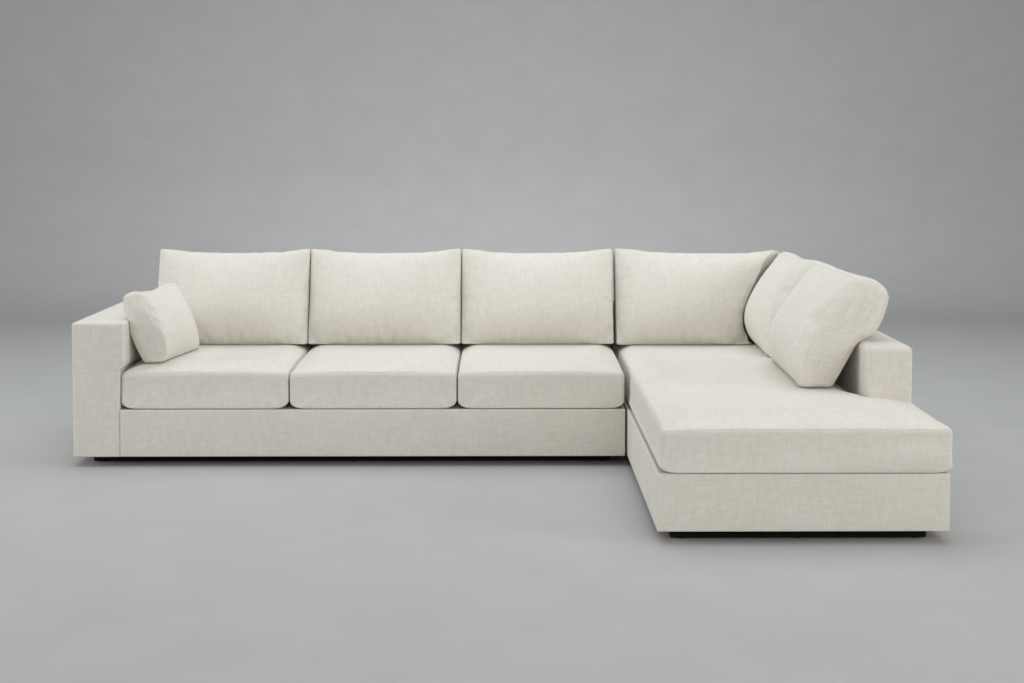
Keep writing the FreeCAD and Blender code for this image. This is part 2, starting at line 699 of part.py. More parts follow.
def sofa_unit():
    """Everything of the sofa unit but its cushions."""
    arm = (LEFT, SEAT_LEFT, SOFA_FRONT, REAR)
    back = (SEAT_LEFT, SOFA_RIGHT, BACK_INSIDE, REAR)
    save("sofa_arm_cover", [bolt_holes(arm_cover())])
    save("sofa_back_cover", [upholstered_box(*back)])
    save("sofa_front_band", [panel(SEAT_LEFT, SOFA_RIGHT, SOFA_FRONT, SOFA_FRONT + COVER)])
    save("sofa_end_panel", [panel(SOFA_RIGHT - COVER, SOFA_RIGHT, SOFA_FRONT + COVER, BACK_INSIDE)])

    x0, x1 = SEAT_LEFT, SOFA_RIGHT - COVER
    y0, y1 = SOFA_FRONT + COVER, BACK_INSIDE
    ya, yb = y0 + BOARD, y1 - BOARD
    save("sofa_deck", [box(x0, x1, y0, y1, DECK_TOP - DECK_THICKNESS, DECK_TOP)])
    save("sofa_long_rails", [rail(x0, x1, y0, ya), rail(x0, x1, yb, y1)])
    save("sofa_end_rails", [bolt_holes(rail(x0, x0 + BOARD, ya, yb)), rail(x1 - BOARD, x1, ya, yb)])
    stretchers = []
    for k in range(1, SEAT_COUNT):
        x = SEAT_LEFT + SEAT_PITCH * k
        stretchers.append(rail(x - BOARD / 2, x + BOARD / 2, ya, yb))
    save("sofa_stretchers", stretchers)
    xa, xb = x0 + BOARD, x1 - BOARD
    save("sofa_corner_blocks", [corner_block(xa, ya, 1, 1), corner_block(xb, ya, -1, 1),
                                corner_block(xa, yb, 1, -1), corner_block(xb, yb, -1, -1)])

    springs, clips = [], []
    span = yb - ya + BOARD
    for seat in range(SEAT_COUNT):
        for k in range(SPRINGS_PER_SEAT):
            x = SEAT_LEFT + SEAT_PITCH * (seat + (k + 0.5) / SPRINGS_PER_SEAT)
            springs.append(spring((x, y0 + BOARD / 2), span, "Y"))
            clips += [clip((x, y0 + BOARD / 2), "Y"), clip((x, y1 - BOARD / 2), "Y")]
    save("sofa_springs", springs)
    save("sofa_spring_clips", clips)

    save("sofa_arm_frame", [bolt_holes(board) for board in box_frame("Y", *arm, 3)])
    save("sofa_back_frame", box_frame("X", *back, SEAT_COUNT + 1))
    bolts = []
    for y in arm_bolt_places():
        bolts += arm_bolt(y)
    save("sofa_arm_bolts", bolts)

    foot = (LEFT + PLINTH_OUTER_END, SOFA_RIGHT - PLINTH_JOINT_END,
            SOFA_FRONT + SOFA_PLINTH_FRONT, REAR - PLINTH_REAR)
    underside("sofa", foot)
    save("connector_jaws", [jaw(SOFA_FRONT + inset) for inset in CONNECTOR_INSETS])


def underside(unit, foot):
    """Plinth, glides and dust sheet of one unit."""
    save(unit + "_plinth", plinth(*foot))
    save(unit + "_glides", glides(*foot))
    m = DUST_MARGIN
    save(unit + "_dust_sheet", [box(foot[0] - m, foot[1] + m, foot[2] - m, foot[3] + m, SHEET_BOTTOM, BASE_BOTTOM)])


def chaise_unit():
    """Everything of the chaise unit but its cushions."""
    low_back = (LOW_BACK_INSIDE, RIGHT, LOW_BACK_FRONT, BACK_INSIDE)
    back = (CHAISE_LEFT, RIGHT, BACK_INSIDE, REAR)
    save("chaise_low_back_cover", [upholstered_box(*low_back)])
    save("chaise_back_cover", [upholstered_box(*back)])
    save("chaise_front_band", [panel(CHAISE_LEFT, RIGHT, FRONT, FRONT + COVER)])
    save("chaise_left_panel", [panel(CHAISE_LEFT, CHAISE_LEFT + COVER, FRONT + COVER, BACK_INSIDE)])
    save("chaise_right_panel", [panel(RIGHT - COVER, RIGHT, FRONT + COVER, LOW_BACK_FRONT)])

    x0, x1, x2 = CHAISE_LEFT + COVER, LOW_BACK_INSIDE, RIGHT - COVER
    y0, y1, y2 = FRONT + COVER, LOW_BACK_FRONT, BACK_INSIDE
    deck_low = DECK_TOP - DECK_THICKNESS
    save("chaise_deck", [box(x0, x1, y1, y2, deck_low, DECK_TOP), box(x0, x2, y0, y1, deck_low, DECK_TOP)])
    ya, yb = y0 + BOARD, y2 - BOARD
    save("chaise_end_rails", [rail(x0, x2, y0, ya), rail(x0, x1, yb, y2)])
    save("chaise_side_rails", [rail(x0, x0 + BOARD, ya, yb), rail(x1 - BOARD, x1, y1, yb),
                               rail(x2 - BOARD, x2, ya, y1 - BOARD), rail(x1, x2, y1 - BOARD, y1)])
    stretchers = []
    xa, xb, xc = x0 + BOARD, x1 - BOARD, x2 - BOARD
    cross = [y1 - BOARD / 2 + (yb - y1) * k / 3 for k in range(1, 3)]
    for y in cross:
        stretchers.append(rail(xa, xb, y, y + BOARD))
    stretchers.append(rail(xa, x1, y1 - BOARD, y1))
    save("chaise_stretchers", stretchers)
    save("chaise_corner_blocks", [corner_block(xa, ya, 1, 1), corner_block(xc, ya, -1, 1),
                                  corner_block(xa, yb, 1, -1), corner_block(xb, yb, -1, -1)])

    springs, clips = [], []
    count = int((yb - ya) / CHAISE_SPRING_PITCH)
    for k in range(count):
        y = ya + (yb - ya) * (k + 0.5) / count
        end = xc + BOARD / 2 if y < y1 - BOARD else xb + BOARD / 2
        start = x0 + BOARD / 2
        springs.append(spring((start, y), end - start, "X"))
        clips += [clip((start, y), "X"), clip((end, y), "X")]
    save("chaise_springs", springs)
    save("chaise_spring_clips", clips)

    save("chaise_low_back_frame", box_frame("Y", *low_back, 4))
    save("chaise_back_frame", box_frame("X", *back, 3))
    foot = (CHAISE_LEFT + PLINTH_JOINT_END, RIGHT - PLINTH_OUTER_END,
            FRONT + CHAISE_PLINTH_FRONT, REAR - PLINTH_REAR)
    underside("chaise", foot)
    save("connector_tongues", [tongue(SOFA_FRONT + inset) for inset in CONNECTOR_INSETS])


def cushions():
    """All eleven cushions, each a cover and its core."""
    pieces = {}
    for k, side in enumerate(("left", "middle", "right")):
        pieces["seat_cushion_" + side] = seat_cushion(k)
        pieces["back_cushion_" + side] = back_cushion(k)
    pieces["back_cushion_corner"] = corner_back_cushion()
    pieces["side_cushion_far"] = side_cushion(0)
    pieces["side_cushion_near"] = side_cushion(1)
    pieces["chaise_cushion"] = chaise_cushion()
    pieces["arm_pillow"] = arm_pillow()
    for name, (cover, core) in pieces.items():
        save(name + "_cover", [cover])
        save(name + "_core", [core])


os.makedirs("parts", exist_ok=True)
sofa_unit()
chaise_unit()
cushions()
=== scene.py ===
# %% [markdown]
# A sectional sofa in cream woven cloth: a long unit with a left arm, a chaise unit at the right,
# and eleven loose cushions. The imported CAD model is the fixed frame. Each soft piece is worked
# out here as a surface and put in the place of its plain CAD solid. The loose cushions are also
# filled with air by Blender's cloth solver.

# %% Load the fixed frame
import json
import math

import bpy
import numpy as np
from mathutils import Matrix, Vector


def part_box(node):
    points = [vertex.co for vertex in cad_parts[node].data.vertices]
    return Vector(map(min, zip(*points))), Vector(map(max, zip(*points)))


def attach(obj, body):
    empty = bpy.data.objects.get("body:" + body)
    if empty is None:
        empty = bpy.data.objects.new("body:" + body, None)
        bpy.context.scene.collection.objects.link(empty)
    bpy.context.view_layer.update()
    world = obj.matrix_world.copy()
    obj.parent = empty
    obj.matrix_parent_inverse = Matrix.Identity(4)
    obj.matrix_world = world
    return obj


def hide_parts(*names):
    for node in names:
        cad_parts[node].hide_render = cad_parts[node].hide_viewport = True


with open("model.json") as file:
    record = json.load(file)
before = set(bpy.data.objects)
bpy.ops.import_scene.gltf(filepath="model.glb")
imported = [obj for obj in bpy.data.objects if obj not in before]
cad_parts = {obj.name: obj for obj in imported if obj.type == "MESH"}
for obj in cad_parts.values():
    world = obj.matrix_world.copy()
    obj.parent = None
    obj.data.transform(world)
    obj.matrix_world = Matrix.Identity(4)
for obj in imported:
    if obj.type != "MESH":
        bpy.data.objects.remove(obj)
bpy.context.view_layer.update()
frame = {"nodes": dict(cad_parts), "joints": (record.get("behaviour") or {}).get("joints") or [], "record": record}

record = frame["record"]
axes = {joint["name"]: np.array(joint["axis"], float) for joint in frame["joints"]}

# %% [markdown]
# The camera stands a little above the sofa, six metres in front of it. Its place was solved from
# the straight edges of the bases. It looks down by less than three degrees, and a vertical shift
# does the rest of the framing, because a steep camera would make the upright edges lean.

# %% Camera
LOOKS_DOWN = 2.869
TURNS_RIGHT = 0.403

eye = bpy.data.cameras.new("eye")
eye.lens = 50.0
eye.sensor_width = 36.0
eye.shift_y = -0.1274
camera = bpy.data.objects.new("eye", eye)
camera.location = (0.1478, -6.1755, 1.4558)
camera.rotation_euler = (math.radians(90 - LOOKS_DOWN), 0, math.radians(-TURNS_RIGHT))
bpy.context.scene.collection.objects.link(camera)
bpy.context.scene.camera = camera
print("camera at", tuple(camera.location))

# %% [markdown]
# Every padded shape below starts as the outside of a box cut into cells. A cube with a Bevel
# could be a start too, but a lattice of points is easy to write as whole arrays, it has no poles,
# and the lines that will carry seams are known in it. The cells are small near the edges, where
# the cloth turns.

# %% Lines across a box
def lines(length, step, edge):
    """Places along a side: four inside the rounded edge at each end, and even steps between."""
    ends = edge * np.array([0.0, 0.35, 0.7, 1.0])
    count = max(1, round((length - 2 * edge) / step))
    middle = np.linspace(edge, length - edge, count + 1)[1:-1]
    return np.concatenate([ends, middle, length - ends[::-1]])


print("lines over a metre", len(lines(1.0, 0.02, 0.02)))


# %% The lattice
def lattice(xs, ys, zs, inside=None):
    """Outer faces of a box cut into cells. A face lies wherever a filled cell meets an empty one,
    and it is wound so that it looks away from the filled cell. Gives the points, the faces, each
    face's side (0 to 5: low x, high x, low y, high y, low z, high z) and a table of the points'
    numbers by line, with -1 where there is no point."""
    shape = (len(xs), len(ys), len(zs))
    filled = np.ones([n - 1 for n in shape], bool) if inside is None else inside
    with_air = np.pad(filled, 1).astype(int)
    ids = np.arange(np.prod(shape)).reshape(shape)
    quads, sides = [], []
    for axis in range(3):
        cut = [slice(1, -1)] * 3
        cut[axis] = slice(None)
        change = np.diff(with_air, axis=axis)[tuple(cut)]
        to_a, to_b = [row for k, row in enumerate(np.eye(3, dtype=int)) if k != axis]
        at = np.argwhere(change != 0)
        corner = np.stack([at, at + to_a, at + to_a + to_b, at + to_b], axis=1)
        quad = ids[corner[..., 0], corner[..., 1], corner[..., 2]]
        step = change[tuple(at.T)]
        looks_in = step * (1, -1, 1)[axis] > 0
        quad[looks_in] = quad[looks_in][:, ::-1]
        quads.append(quad)
        sides.append(axis * 2 + (step < 0))
    quads, sides = np.concatenate(quads), np.concatenate(sides)
    used, inverse = np.unique(quads, return_inverse=True)
    number = np.full(np.prod(shape), -1)
    number[used] = np.arange(len(used))
    grid = np.stack(np.meshgrid(xs, ys, zs, indexing="ij"), axis=-1).reshape(-1, 3)
    return grid[used], inverse.reshape(quads.shape), sides, number.reshape(shape)


test_box = lattice(lines(1.0, 0.1, 0.02), lines(0.5, 0.1, 0.02), lines(0.2, 0.1, 0.02))
print("test box", len(test_box[0]), "points", len(test_box[1]), "faces")


# %% Rounding
def rounded(points, low, high, radius):
    """Each point is pulled to the sphere of the radius around the nearest point of the inner box,
    so flat sides stay flat and edges become quarter rounds."""
    inner = np.clip(points, low + radius, high - radius)
    away = points - inner
    size = np.linalg.norm(away, axis=1, keepdims=True)
    return inner + away / np.maximum(size, 1e-9) * radius


def smooth(x, start, end):
    """0 before start, 1 after end, and a soft S between."""
    t = np.clip((x - start) / (end - start), 0, 1)
    return t * t * (3 - 2 * t)


def joined(*columns):
    """Coordinates, stretched to one shape where they differ, as an array of points."""
    return np.stack(np.broadcast_arrays(*columns), axis=-1)


test_corner = np.linalg.norm(rounded(np.zeros((1, 3)), np.zeros(3), np.ones(3), 0.1))
print("a corner rounded by 100 mm moves in by", round(float(test_corner) * 1000), "mm")


# %% The cloth map
SIDE_SHIFT = 0.37


def cloth_map(points, quads, sides):
    """Flat cloth coordinates in metres for each corner of each face: the two box directions that
    the face spans, so the threads run along the edges of the piece. Each side starts at its own
    place on the cloth."""
    across = np.array([1, 1, 0, 0, 0, 0])[sides]
    along = np.array([2, 2, 2, 2, 1, 1])[sides]
    corner = points[quads]
    u = np.take_along_axis(corner, across[:, None, None], axis=2)[..., 0]
    v = np.take_along_axis(corner, along[:, None, None], axis=2)[..., 0]
    return np.stack([u, v + SIDE_SHIFT * sides[:, None]], axis=-1)


test_map = cloth_map(*test_box[:3])
print("cloth map of the test box reaches", test_map.reshape(-1, 2).max(0).round(2), "m")


# %% From arrays to a mesh
def outwards(points, quads, uv):
    """The faces, turned over if they look inwards: each face's area vector times its first
    corner, summed over all faces, is positive when they look out."""
    a, b, c, d = (points[quads[:, k]] for k in range(4))
    if np.einsum("ij,ij->i", a, np.cross(b - a, c - a) + np.cross(c - a, d - a)).sum() < 0:
        return quads[:, ::-1], uv[:, ::-1]
    return quads, uv


def mesh_object(name, points, quads, uv):
    """A mesh object from whole arrays, wound outwards whatever way its form was mapped."""
    quads, uv = outwards(points, quads, uv)
    mesh = bpy.data.meshes.new(name)
    mesh.vertices.add(len(points))
    mesh.vertices.foreach_set("co", points.astype(np.float32).ravel())
    mesh.loops.add(quads.size)
    mesh.loops.foreach_set("vertex_index", quads.astype(np.int32).ravel())
    mesh.polygons.add(len(quads))
    mesh.polygons.foreach_set("loop_start", np.arange(0, quads.size, 4, dtype=np.int32))
    mesh.polygons.foreach_set("use_smooth", np.ones(len(quads), bool))
    layer = mesh.uv_layers.new(name="cloth")
    layer.uv.foreach_set("vector", uv.astype(np.float32).ravel())
    mesh.update(calc_edges=True)
    mesh.validate()
    piece = bpy.data.objects.new(name, mesh)
    bpy.context.scene.collection.objects.link(piece)
    return piece


# %% [markdown]
# The finishes come next. The cloth is a heavy plain weave with thick and thin yarns, so it gets
# single threads, streaks along both thread directions, and a slow mottling. A picture of cloth
# would be quicker, but nodes stay sharp close by and never repeat. The wooden frame, plinths,
# springs and glides get simpler finishes that read the object's own coordinates.

# %% A small helper for material nodes
class Finish:
    """A Principled material whose nodes are added one line at a time."""

    def __init__(self, name, color, roughness, **sockets):
        self.material = bpy.data.materials.new(name)
        self.material.use_nodes = True
        self.tree = self.material.node_tree
        self.shader = self.tree.nodes["Principled BSDF"]
        self.shader.inputs["Base Color"].default_value = (*color, 1)
        self.shader.inputs["Roughness"].default_value = roughness
        for socket, value in sockets.items():
            self.shader.inputs[socket.replace("_", " ")].default_value = value

    def node(self, kind, inputs=(), **settings):
        """A node with its settings, its inputs linked or set."""
        made = self.tree.nodes.new("ShaderNode" + kind)
        for name, value in settings.items():
            setattr(made, name, value)
        for key, value in dict(inputs).items():
            if isinstance(value, bpy.types.NodeSocket):
                self.tree.links.new(value, made.inputs[key])
            else:
                made.inputs[key].default_value = value
        return made

    def place(self, kind, scale):
        """Coordinates of the piece, stretched by a scale along each axis."""
        source = self.node("TexCoord").outputs[kind]
        return self.node("Mapping", {"Vector": source, "Scale": scale}).outputs["Vector"]

    def noise(self, vector, scale, detail=2.0, roughness=0.5):
        """Cloudy noise between 0 and 1."""
        inputs = {"Vector": vector, "Scale": scale, "Detail": detail, "Roughness": roughness}
        return self.node("TexNoise", inputs).outputs["Fac"]

    def math(self, operation, a, b, clamp=False):
        """One sum of two numbers or sockets, kept between 0 and 1 if clamp is set."""
        return self.node("Math", {0: a, 1: b}, operation=operation, use_clamp=clamp).outputs[0]

    def mix(self, factor, a, b):
        """Colour a at 0, colour b at 1."""
        inputs = {"Factor": factor, 6: (*a, 1), 7: (*b, 1)}
        return self.node("Mix", inputs, data_type="RGBA").outputs[2]

    def ramp(self, factor, low, high):
        """0 below low, 1 above high, and a soft S between."""
        inputs = {"Value": factor, "From Min": low, "From Max": high}
        return self.node("MapRange", inputs, interpolation_type="SMOOTHSTEP").outputs[0]

    def color(self, socket):
        """Gives the surface its colour."""
        self.tree.links.new(socket, self.shader.inputs["Base Color"])

    def rough(self, factor, low, high):
        """Roughness that goes from low to high with the factor."""
        spread = self.node("MapRange", {"Value": factor, "To Min": low, "To Max": high})
        self.tree.links.new(spread.outputs[0], self.shader.inputs["Roughness"])

    def bump(self, height, distance, strength=1.0):
        """One more relief over those already there."""
        inputs = {"Height": height, "Distance": distance, "Strength": strength}
        made = self.node("Bump", inputs)
        before = self.shader.inputs["Normal"].links
        if before:
            self.tree.links.new(before[0].from_socket, made.inputs["Normal"])
        self.tree.links.new(made.outputs["Normal"], self.shader.inputs["Normal"])


# %% Woven cloth
def woven(name, light, dark, thread):
    """Plain weave on the cloth map: two bands of round threads, one over the other by turns, each
    yarn with its own tone, streaks along the yarns, and a slow mottling over a hand's breadth."""
    f = Finish(name, light, 0.94, Sheen_Weight=0.18, Sheen_Roughness=0.5, Specular_IOR_Level=0.25)
    flat = f.place("UV", (1, 1, 1))

    def streaks(long, short, detail, roughness):
        """Noise drawn out along the one thread direction, and along the other, added up."""
        return f.math("ADD", f.noise(f.place("UV", (long, short, 1)), 1.0, detail, roughness),
                      f.noise(f.place("UV", (short, long, 1)), 1.0, detail, roughness))

    # The yarns wander by about a thread's width.
    wander = f.node("TexNoise", {"Vector": flat, "Scale": 60.0, "Detail": 2.0}).outputs["Color"]
    offset = f.node("VectorMath", {0: wander, 1: (0.5, 0.5, 0.5)}, operation="SUBTRACT").outputs[0]
    offset = f.node("VectorMath", {0: offset, "Scale": thread * 1.2}, operation="SCALE").outputs[0]
    yarns = f.node("VectorMath", {0: flat, 1: offset}, operation="ADD").outputs[0]
    wave = {"Vector": yarns, "Scale": 2 * math.pi / (20 * thread)}
    warp, weft = (f.node("TexWave", wave, bands_direction=way).outputs["Fac"] for way in "XY")
    over = f.node("TexChecker", {"Vector": yarns, "Scale": 1 / thread}).outputs["Fac"]
    height = f.node("Mix", {"Factor": over, 2: warp, 3: weft}).outputs[0]
    fine = streaks(16, 560, 2.0, 0.5)
    slubs = streaks(9, 210, 3.0, 0.6)
    flecks = f.noise(flat, 260.0, 2.0, 0.7)
    mottle = f.noise(flat, 34.0, 4.0, 0.65)
    cloud = f.noise(flat, 5.0, 2.0, 0.5)
    # Each part darkens the cloth by its share; the low gaps between threads get painted shade.
    tone = f.math("MULTIPLY", f.ramp(slubs, 0.70, 1.32), 0.36)
    for part, low, high, share in ((fine, 0.75, 1.25, 0.20), (flecks, 0.35, 0.80, 0.46),
                                   (mottle, 0.30, 0.75, 0.24), (cloud, 0.30, 0.70, 0.10)):
        tone = f.math("ADD", tone, f.math("MULTIPLY", f.ramp(part, low, high), share))
    # Painted shade in the low gaps between threads, taken from the weave's height.
    between = f.math("MULTIPLY", f.math("SUBTRACT", 1.0, height), 0.15)
    shade = f.math("SUBTRACT", f.math("ADD", tone, between), 0.27, True)
    f.color(f.mix(shade, light, dark))
    f.bump(f.math("ADD", height, f.math("MULTIPLY", fine, 0.6)), 0.0004, 0.8)
    f.bump(f.math("ADD", flecks, f.math("MULTIPLY", slubs, 0.5)), 0.0009, 0.45)
    f.bump(mottle, 0.0018, 0.4)
    return f.material


# %% The sofa's cloths
THREAD = 0.0019
FINE_THREAD = 0.0012
DUST_THREAD = 0.0009
cushion_cloth = woven("cushion_cloth", (0.83, 0.80, 0.735), (0.64, 0.60, 0.515), THREAD)
cover_cloth = woven("cover_cloth", (0.825, 0.795, 0.728), (0.63, 0.59, 0.505), THREAD)
# The welts' cloth is the cover cloth made darker: painted shade in the creases of the seams.
seam_cloth_painted_shade = woven("seam_cloth_painted_shade", (0.74, 0.71, 0.64), (0.60, 0.56, 0.48), FINE_THREAD)
deck_cloth = woven("deck_cloth", (0.60, 0.58, 0.54), (0.50, 0.48, 0.44), FINE_THREAD)
dust_cloth = woven("dust_cloth", (0.022, 0.022, 0.023), (0.012, 0.012, 0.013), DUST_THREAD)
print("cloths", [c.name for c in (cushion_cloth, cover_cloth, seam_cloth_painted_shade, deck_cloth, dust_cloth)])


# %% Wood, paint, steel and plastic
def grained(name, light, dark, roughness, stretch):
    """Wood grain: rings of a wave pulled long in one direction, with fine pores in it."""
    f = Finish(name, light, roughness)
    wave = {"Vector": f.place("Object", stretch), "Scale": 2.2, "Distortion": 9.0, "Detail": 3.0,
            "Detail Scale": 1.4}
    rings = f.node("TexWave", wave, bands_direction="Y").outputs["Fac"]
    pores = f.noise(f.place("Object", tuple(12 * s for s in stretch)), 8.0, 3.0, 0.7)
    shade = f.math("ADD", f.math("MULTIPLY", rings, 0.6), f.math("MULTIPLY", pores, 0.5), True)
    f.color(f.mix(shade, light, dark))
    f.rough(pores, roughness - 0.1, roughness + 0.15)
    f.bump(pores, 0.0004, 0.6)
    return f.material


def speckled(name, color, roughness, metallic, scale, **sockets):
    """A plain hard finish with a fine grain, uneven gloss and faint rubbed patches."""
    f = Finish(name, color, roughness, Metallic=metallic, **sockets)
    grain = f.noise(f.place("Object", (1, 1, 1)), scale, 4.0, 0.6)
    patch = f.noise(f.place("Object", (1, 1, 1)), scale * 0.06, 2.0)
    f.color(f.mix(f.ramp(patch, 0.35, 0.7), color, tuple(c * 0.7 for c in color)))
    f.rough(grain, roughness - 0.12, roughness + 0.14)
    f.bump(grain, 0.0003, 0.5)
    return f.material


# %% The hard finishes
frame_wood = grained("frame_wood", (0.56, 0.40, 0.24), (0.38, 0.25, 0.13), 0.62, (4, 40, 40))
plinth_black = speckled("plinth_black", (0.007, 0.007, 0.007), 0.75, 0.0, 900.0,
                        Specular_IOR_Level=0.2)
glide_black = speckled("glide_black", (0.03, 0.03, 0.03), 0.45, 0.0, 1500.0)
spring_steel = speckled("spring_steel", (0.46, 0.46, 0.47), 0.36, 1.0, 2200.0)
finishes = {"frame_wood": frame_wood, "black_plinth": plinth_black, "glide_plastic": glide_black,
            "steel": spring_steel, "deck_fabric": deck_cloth, "dust_fabric": dust_cloth,
            "upholstery_fabric": cover_cloth, "cushion_fabric": cushion_cloth,
            "cushion_core": deck_cloth}
print("hard finishes", [f.name for f in (frame_wood, plinth_black, glide_black, spring_steel)])

# %% Give the CAD nodes their finishes
slot_of = {part["node"]: part["material_slot"] for part in record["subparts"]}
for name, node in frame["nodes"].items():
    node.data.materials.clear()
    node.data.materials.append(finishes[slot_of[name]])
print("slots", sorted(set(slot_of.values())))


# %% [markdown]
# The arm and the backs are wooden boxes under a thin padded cover. The cover is pulled tight, so
# its sides are flat and its corners are neat small rounds. Cloth could be wrapped round a box by
# the solver, but a cover this tight takes the box's own form. Each is a shell, open below like
# the real one, with the padding's thickness added by Solidify.

# %% Upholstered boxes
EDGE_ROUND = 0.013
LOW_BACK_ROUND = 0.022
PANEL_ROUND = 0.0035
DECK_ROUND = 0.003
PADDING = 0.009
UNDERSIDE = 4
UP = np.array([0, 0, 1.0])


# %% Taking a node's place
def take_place(piece, body, *nodes, slot):
    """The piece stands for its CAD nodes, on their body. The slot is not used."""
    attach(piece, body)
    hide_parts(*nodes)


def corners(node):
    """Lowest and highest corner of a node, in metres."""
    return tuple(np.array(corner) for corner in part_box(node))


# %% A padded cover
def upholstered(name, low, high, radius, step=0.03, open_below=False, shape=None,
                cloth=cover_cloth):
    """A padded cover between two corners, with an optional change of shape at the end. One that
    is open below has no underside and stands straight at its lower edge."""
    size = high - low
    points, quads, sides, _ = lattice(*(lines(length, step, radius) for length in size))
    uv = cloth_map(points, quads, sides)
    bottom = np.zeros(3)
    if open_below:
        kept = sides != UNDERSIDE
        quads, uv = quads[kept], uv[kept]
        used, inverse = np.unique(quads, return_inverse=True)
        points, quads = points[used], inverse.reshape(quads.shape)
        bottom = -UP * radius
    points = rounded(points, bottom, size, radius) + low
    if shape is not None:
        points = shape(points)
    piece = mesh_object(name, points, quads, uv)
    if open_below:
        wall = piece.modifiers.new("thickness", "SOLIDIFY")
        wall.thickness = PADDING
        wall.offset = -1
    piece.data.materials.append(cloth)
    return piece


def cover(name, node, body, radius, slot="upholstery_fabric", **form):
    """An upholstered box in the place of one CAD node."""
    piece = upholstered(name, *corners(node), radius, **form)
    take_place(piece, body, node, slot=slot)
    print(name, len(piece.data.polygons), "faces")


# %% The arm
ARM_PAD = 0.022
PAD_BOTTOM = 0.438
# Where the padding begins and is full: above its bottom, before the rear back, and across the
# arm from its outer and from its inner side.
PAD_LOWER_EDGE = (0.001, 0.012)
PAD_REAR_EDGE = (0.014, 0.002)
PAD_ACROSS = (0.10, 0.02)
arm_low, arm_high = corners("sofa_arm_cover")
ARM_INSIDE = arm_high[0]
BACK_INSIDE = corners("sofa_back_cover")[0][1]


# %% The padding on its inner side
def padded_inside(points):
    """Above the seat and before the rear back, the inner side stands out by the extra padding.
    The padding's lower and rear edges are steps of about a centimetre."""
    (x0, x1), (z0, z1), (y0, y1) = PAD_ACROSS, PAD_LOWER_EDGE, PAD_REAR_EDGE
    inner = smooth(points[:, 0], arm_low[0] + x0, ARM_INSIDE - ARM_PAD - x1)
    above = smooth(points[:, 2], PAD_BOTTOM + z0, PAD_BOTTOM + z1)
    before = 1 - smooth(points[:, 1], BACK_INSIDE - y0, BACK_INSIDE - y1)
    points[:, 0] += ARM_PAD * inner * above * before
    return points


arm = upholstered("arm", arm_low, arm_high - (ARM_PAD, 0, 0), EDGE_ROUND, 0.02, True, padded_inside)
take_place(arm, "sofa_unit", "sofa_arm_cover", slot="upholstery_fabric")
print("arm", len(arm.data.polygons), "faces")

# %% The three backs
for name, body, radius in (("sofa_back", "sofa_unit", EDGE_ROUND),
                           ("chaise_back", "chaise_unit", EDGE_ROUND),
                           ("chaise_low_back", "chaise_unit", LOW_BACK_ROUND)):
    cover(name, name + "_cover", body, radius, open_below=True)

# %% The base panels and the sofa's deck
for name, node, body in (("sofa_front_panel", "sofa_front_band", "sofa_unit"),
                         ("sofa_right_panel", "sofa_end_panel", "sofa_unit"),
                         ("chaise_front_panel", "chaise_front_band", "chaise_unit"),
                         ("chaise_side_panel_left", "chaise_left_panel", "chaise_unit"),
                         ("chaise_side_panel_right", "chaise_right_panel", "chaise_unit")):
    cover(name, node, body, PANEL_ROUND)
cover("sofa_seat_deck", "sofa_deck", "sofa_unit", DECK_ROUND, "deck_fabric", step=0.05,
      cloth=deck_cloth)

# %% [markdown]
# Under the decks lie sinuous springs: one steel wire each, bent to and fro in flat half turns and
# held in clips on the rails. A curve with a bevel could draw them. Tubes from arrays have only
# eight sides and closed ends, which is light enough for the dozens of turns.

# %% Springs
WIRE = 0.0018
WIRE_SIDES = 8
BAR = 0.034
SPRING_STEP = 0.038
CLIP_ROOM = 0.011
SOFA_SPRINGS, CHAISE_SPRINGS = 12, 10
LOW_BACK_INSIDE, LOW_BACK_END = corners("chaise_low_back_cover")[0][:2]


def spring_path(span):
    """Flat route (across, forward): straight bars joined by half circles on alternate sides."""
    steps = round(span / SPRING_STEP)
    pitch = span / steps
    k = np.arange(steps)[:, None]
    side = 1 - 2 * (k % 2)
    turn = np.linspace(-np.pi / 2, np.pi / 2, 9)[None]
    turns = joined(side * (BAR / 2 + pitch / 2 * np.cos(turn)),
                   (k + 0.5 + 0.5 * np.sin(turn)) * pitch)
    last = (1 - 2 * (steps % 2)) * BAR / 2
    return np.concatenate([[(-BAR / 2, 0.0)], turns.reshape(-1, 2), [(last, span)]])


def wires(paths):
    """Open tubes round flat routes of one length: circles in the plane of the vertical and the
    cross direction, with both ends closed by three faces."""
    count, length = paths.shape[:2]
    tangent = np.gradient(paths, axis=1)
    tangent /= np.linalg.norm(tangent, axis=2, keepdims=True)
    across = joined(-tangent[..., 1], tangent[..., 0], 0.0)
    turn = np.linspace(0, 2 * np.pi, WIRE_SIDES, endpoint=False)[:, None]
    circle = np.cos(turn) * across[:, :, None] + np.sin(turn) * UP
    ring = paths[:, :, None] + WIRE * circle
    ids = np.arange(count * length * WIRE_SIDES).reshape(count, length, WIRE_SIDES)
    beside = np.roll(ids, -1, 2)
    tube = np.stack([ids[:, :-1], ids[:, 1:], beside[:, 1:], beside[:, :-1]], axis=-1)
    cap = np.array([(0, 1, 6, 7), (1, 2, 5, 6), (2, 3, 4, 5)])
    faces = (tube, ids[:, 0][:, cap], ids[:, -1][:, cap[:, ::-1]])
    return ring.reshape(-1, 3), np.concatenate([part.reshape(-1, 4) for part in faces])


def spring_set(name, body, node, groups):
    """All springs of one unit, from groups of routes; each group has its own length."""
    points, quads = np.zeros((0, 3)), np.zeros((0, 4), int)
    for paths in groups:
        more, faces = wires(paths)
        quads = np.concatenate([quads, faces + len(points)])
        points = np.concatenate([points, more])
    piece = mesh_object(name, points, quads, points[quads][..., :2])
    piece.data.materials.append(spring_steel)
    take_place(piece, body, node, slot="steel")
    print(name, "from", points.min(0).round(4), "to", points.max(0).round(4))


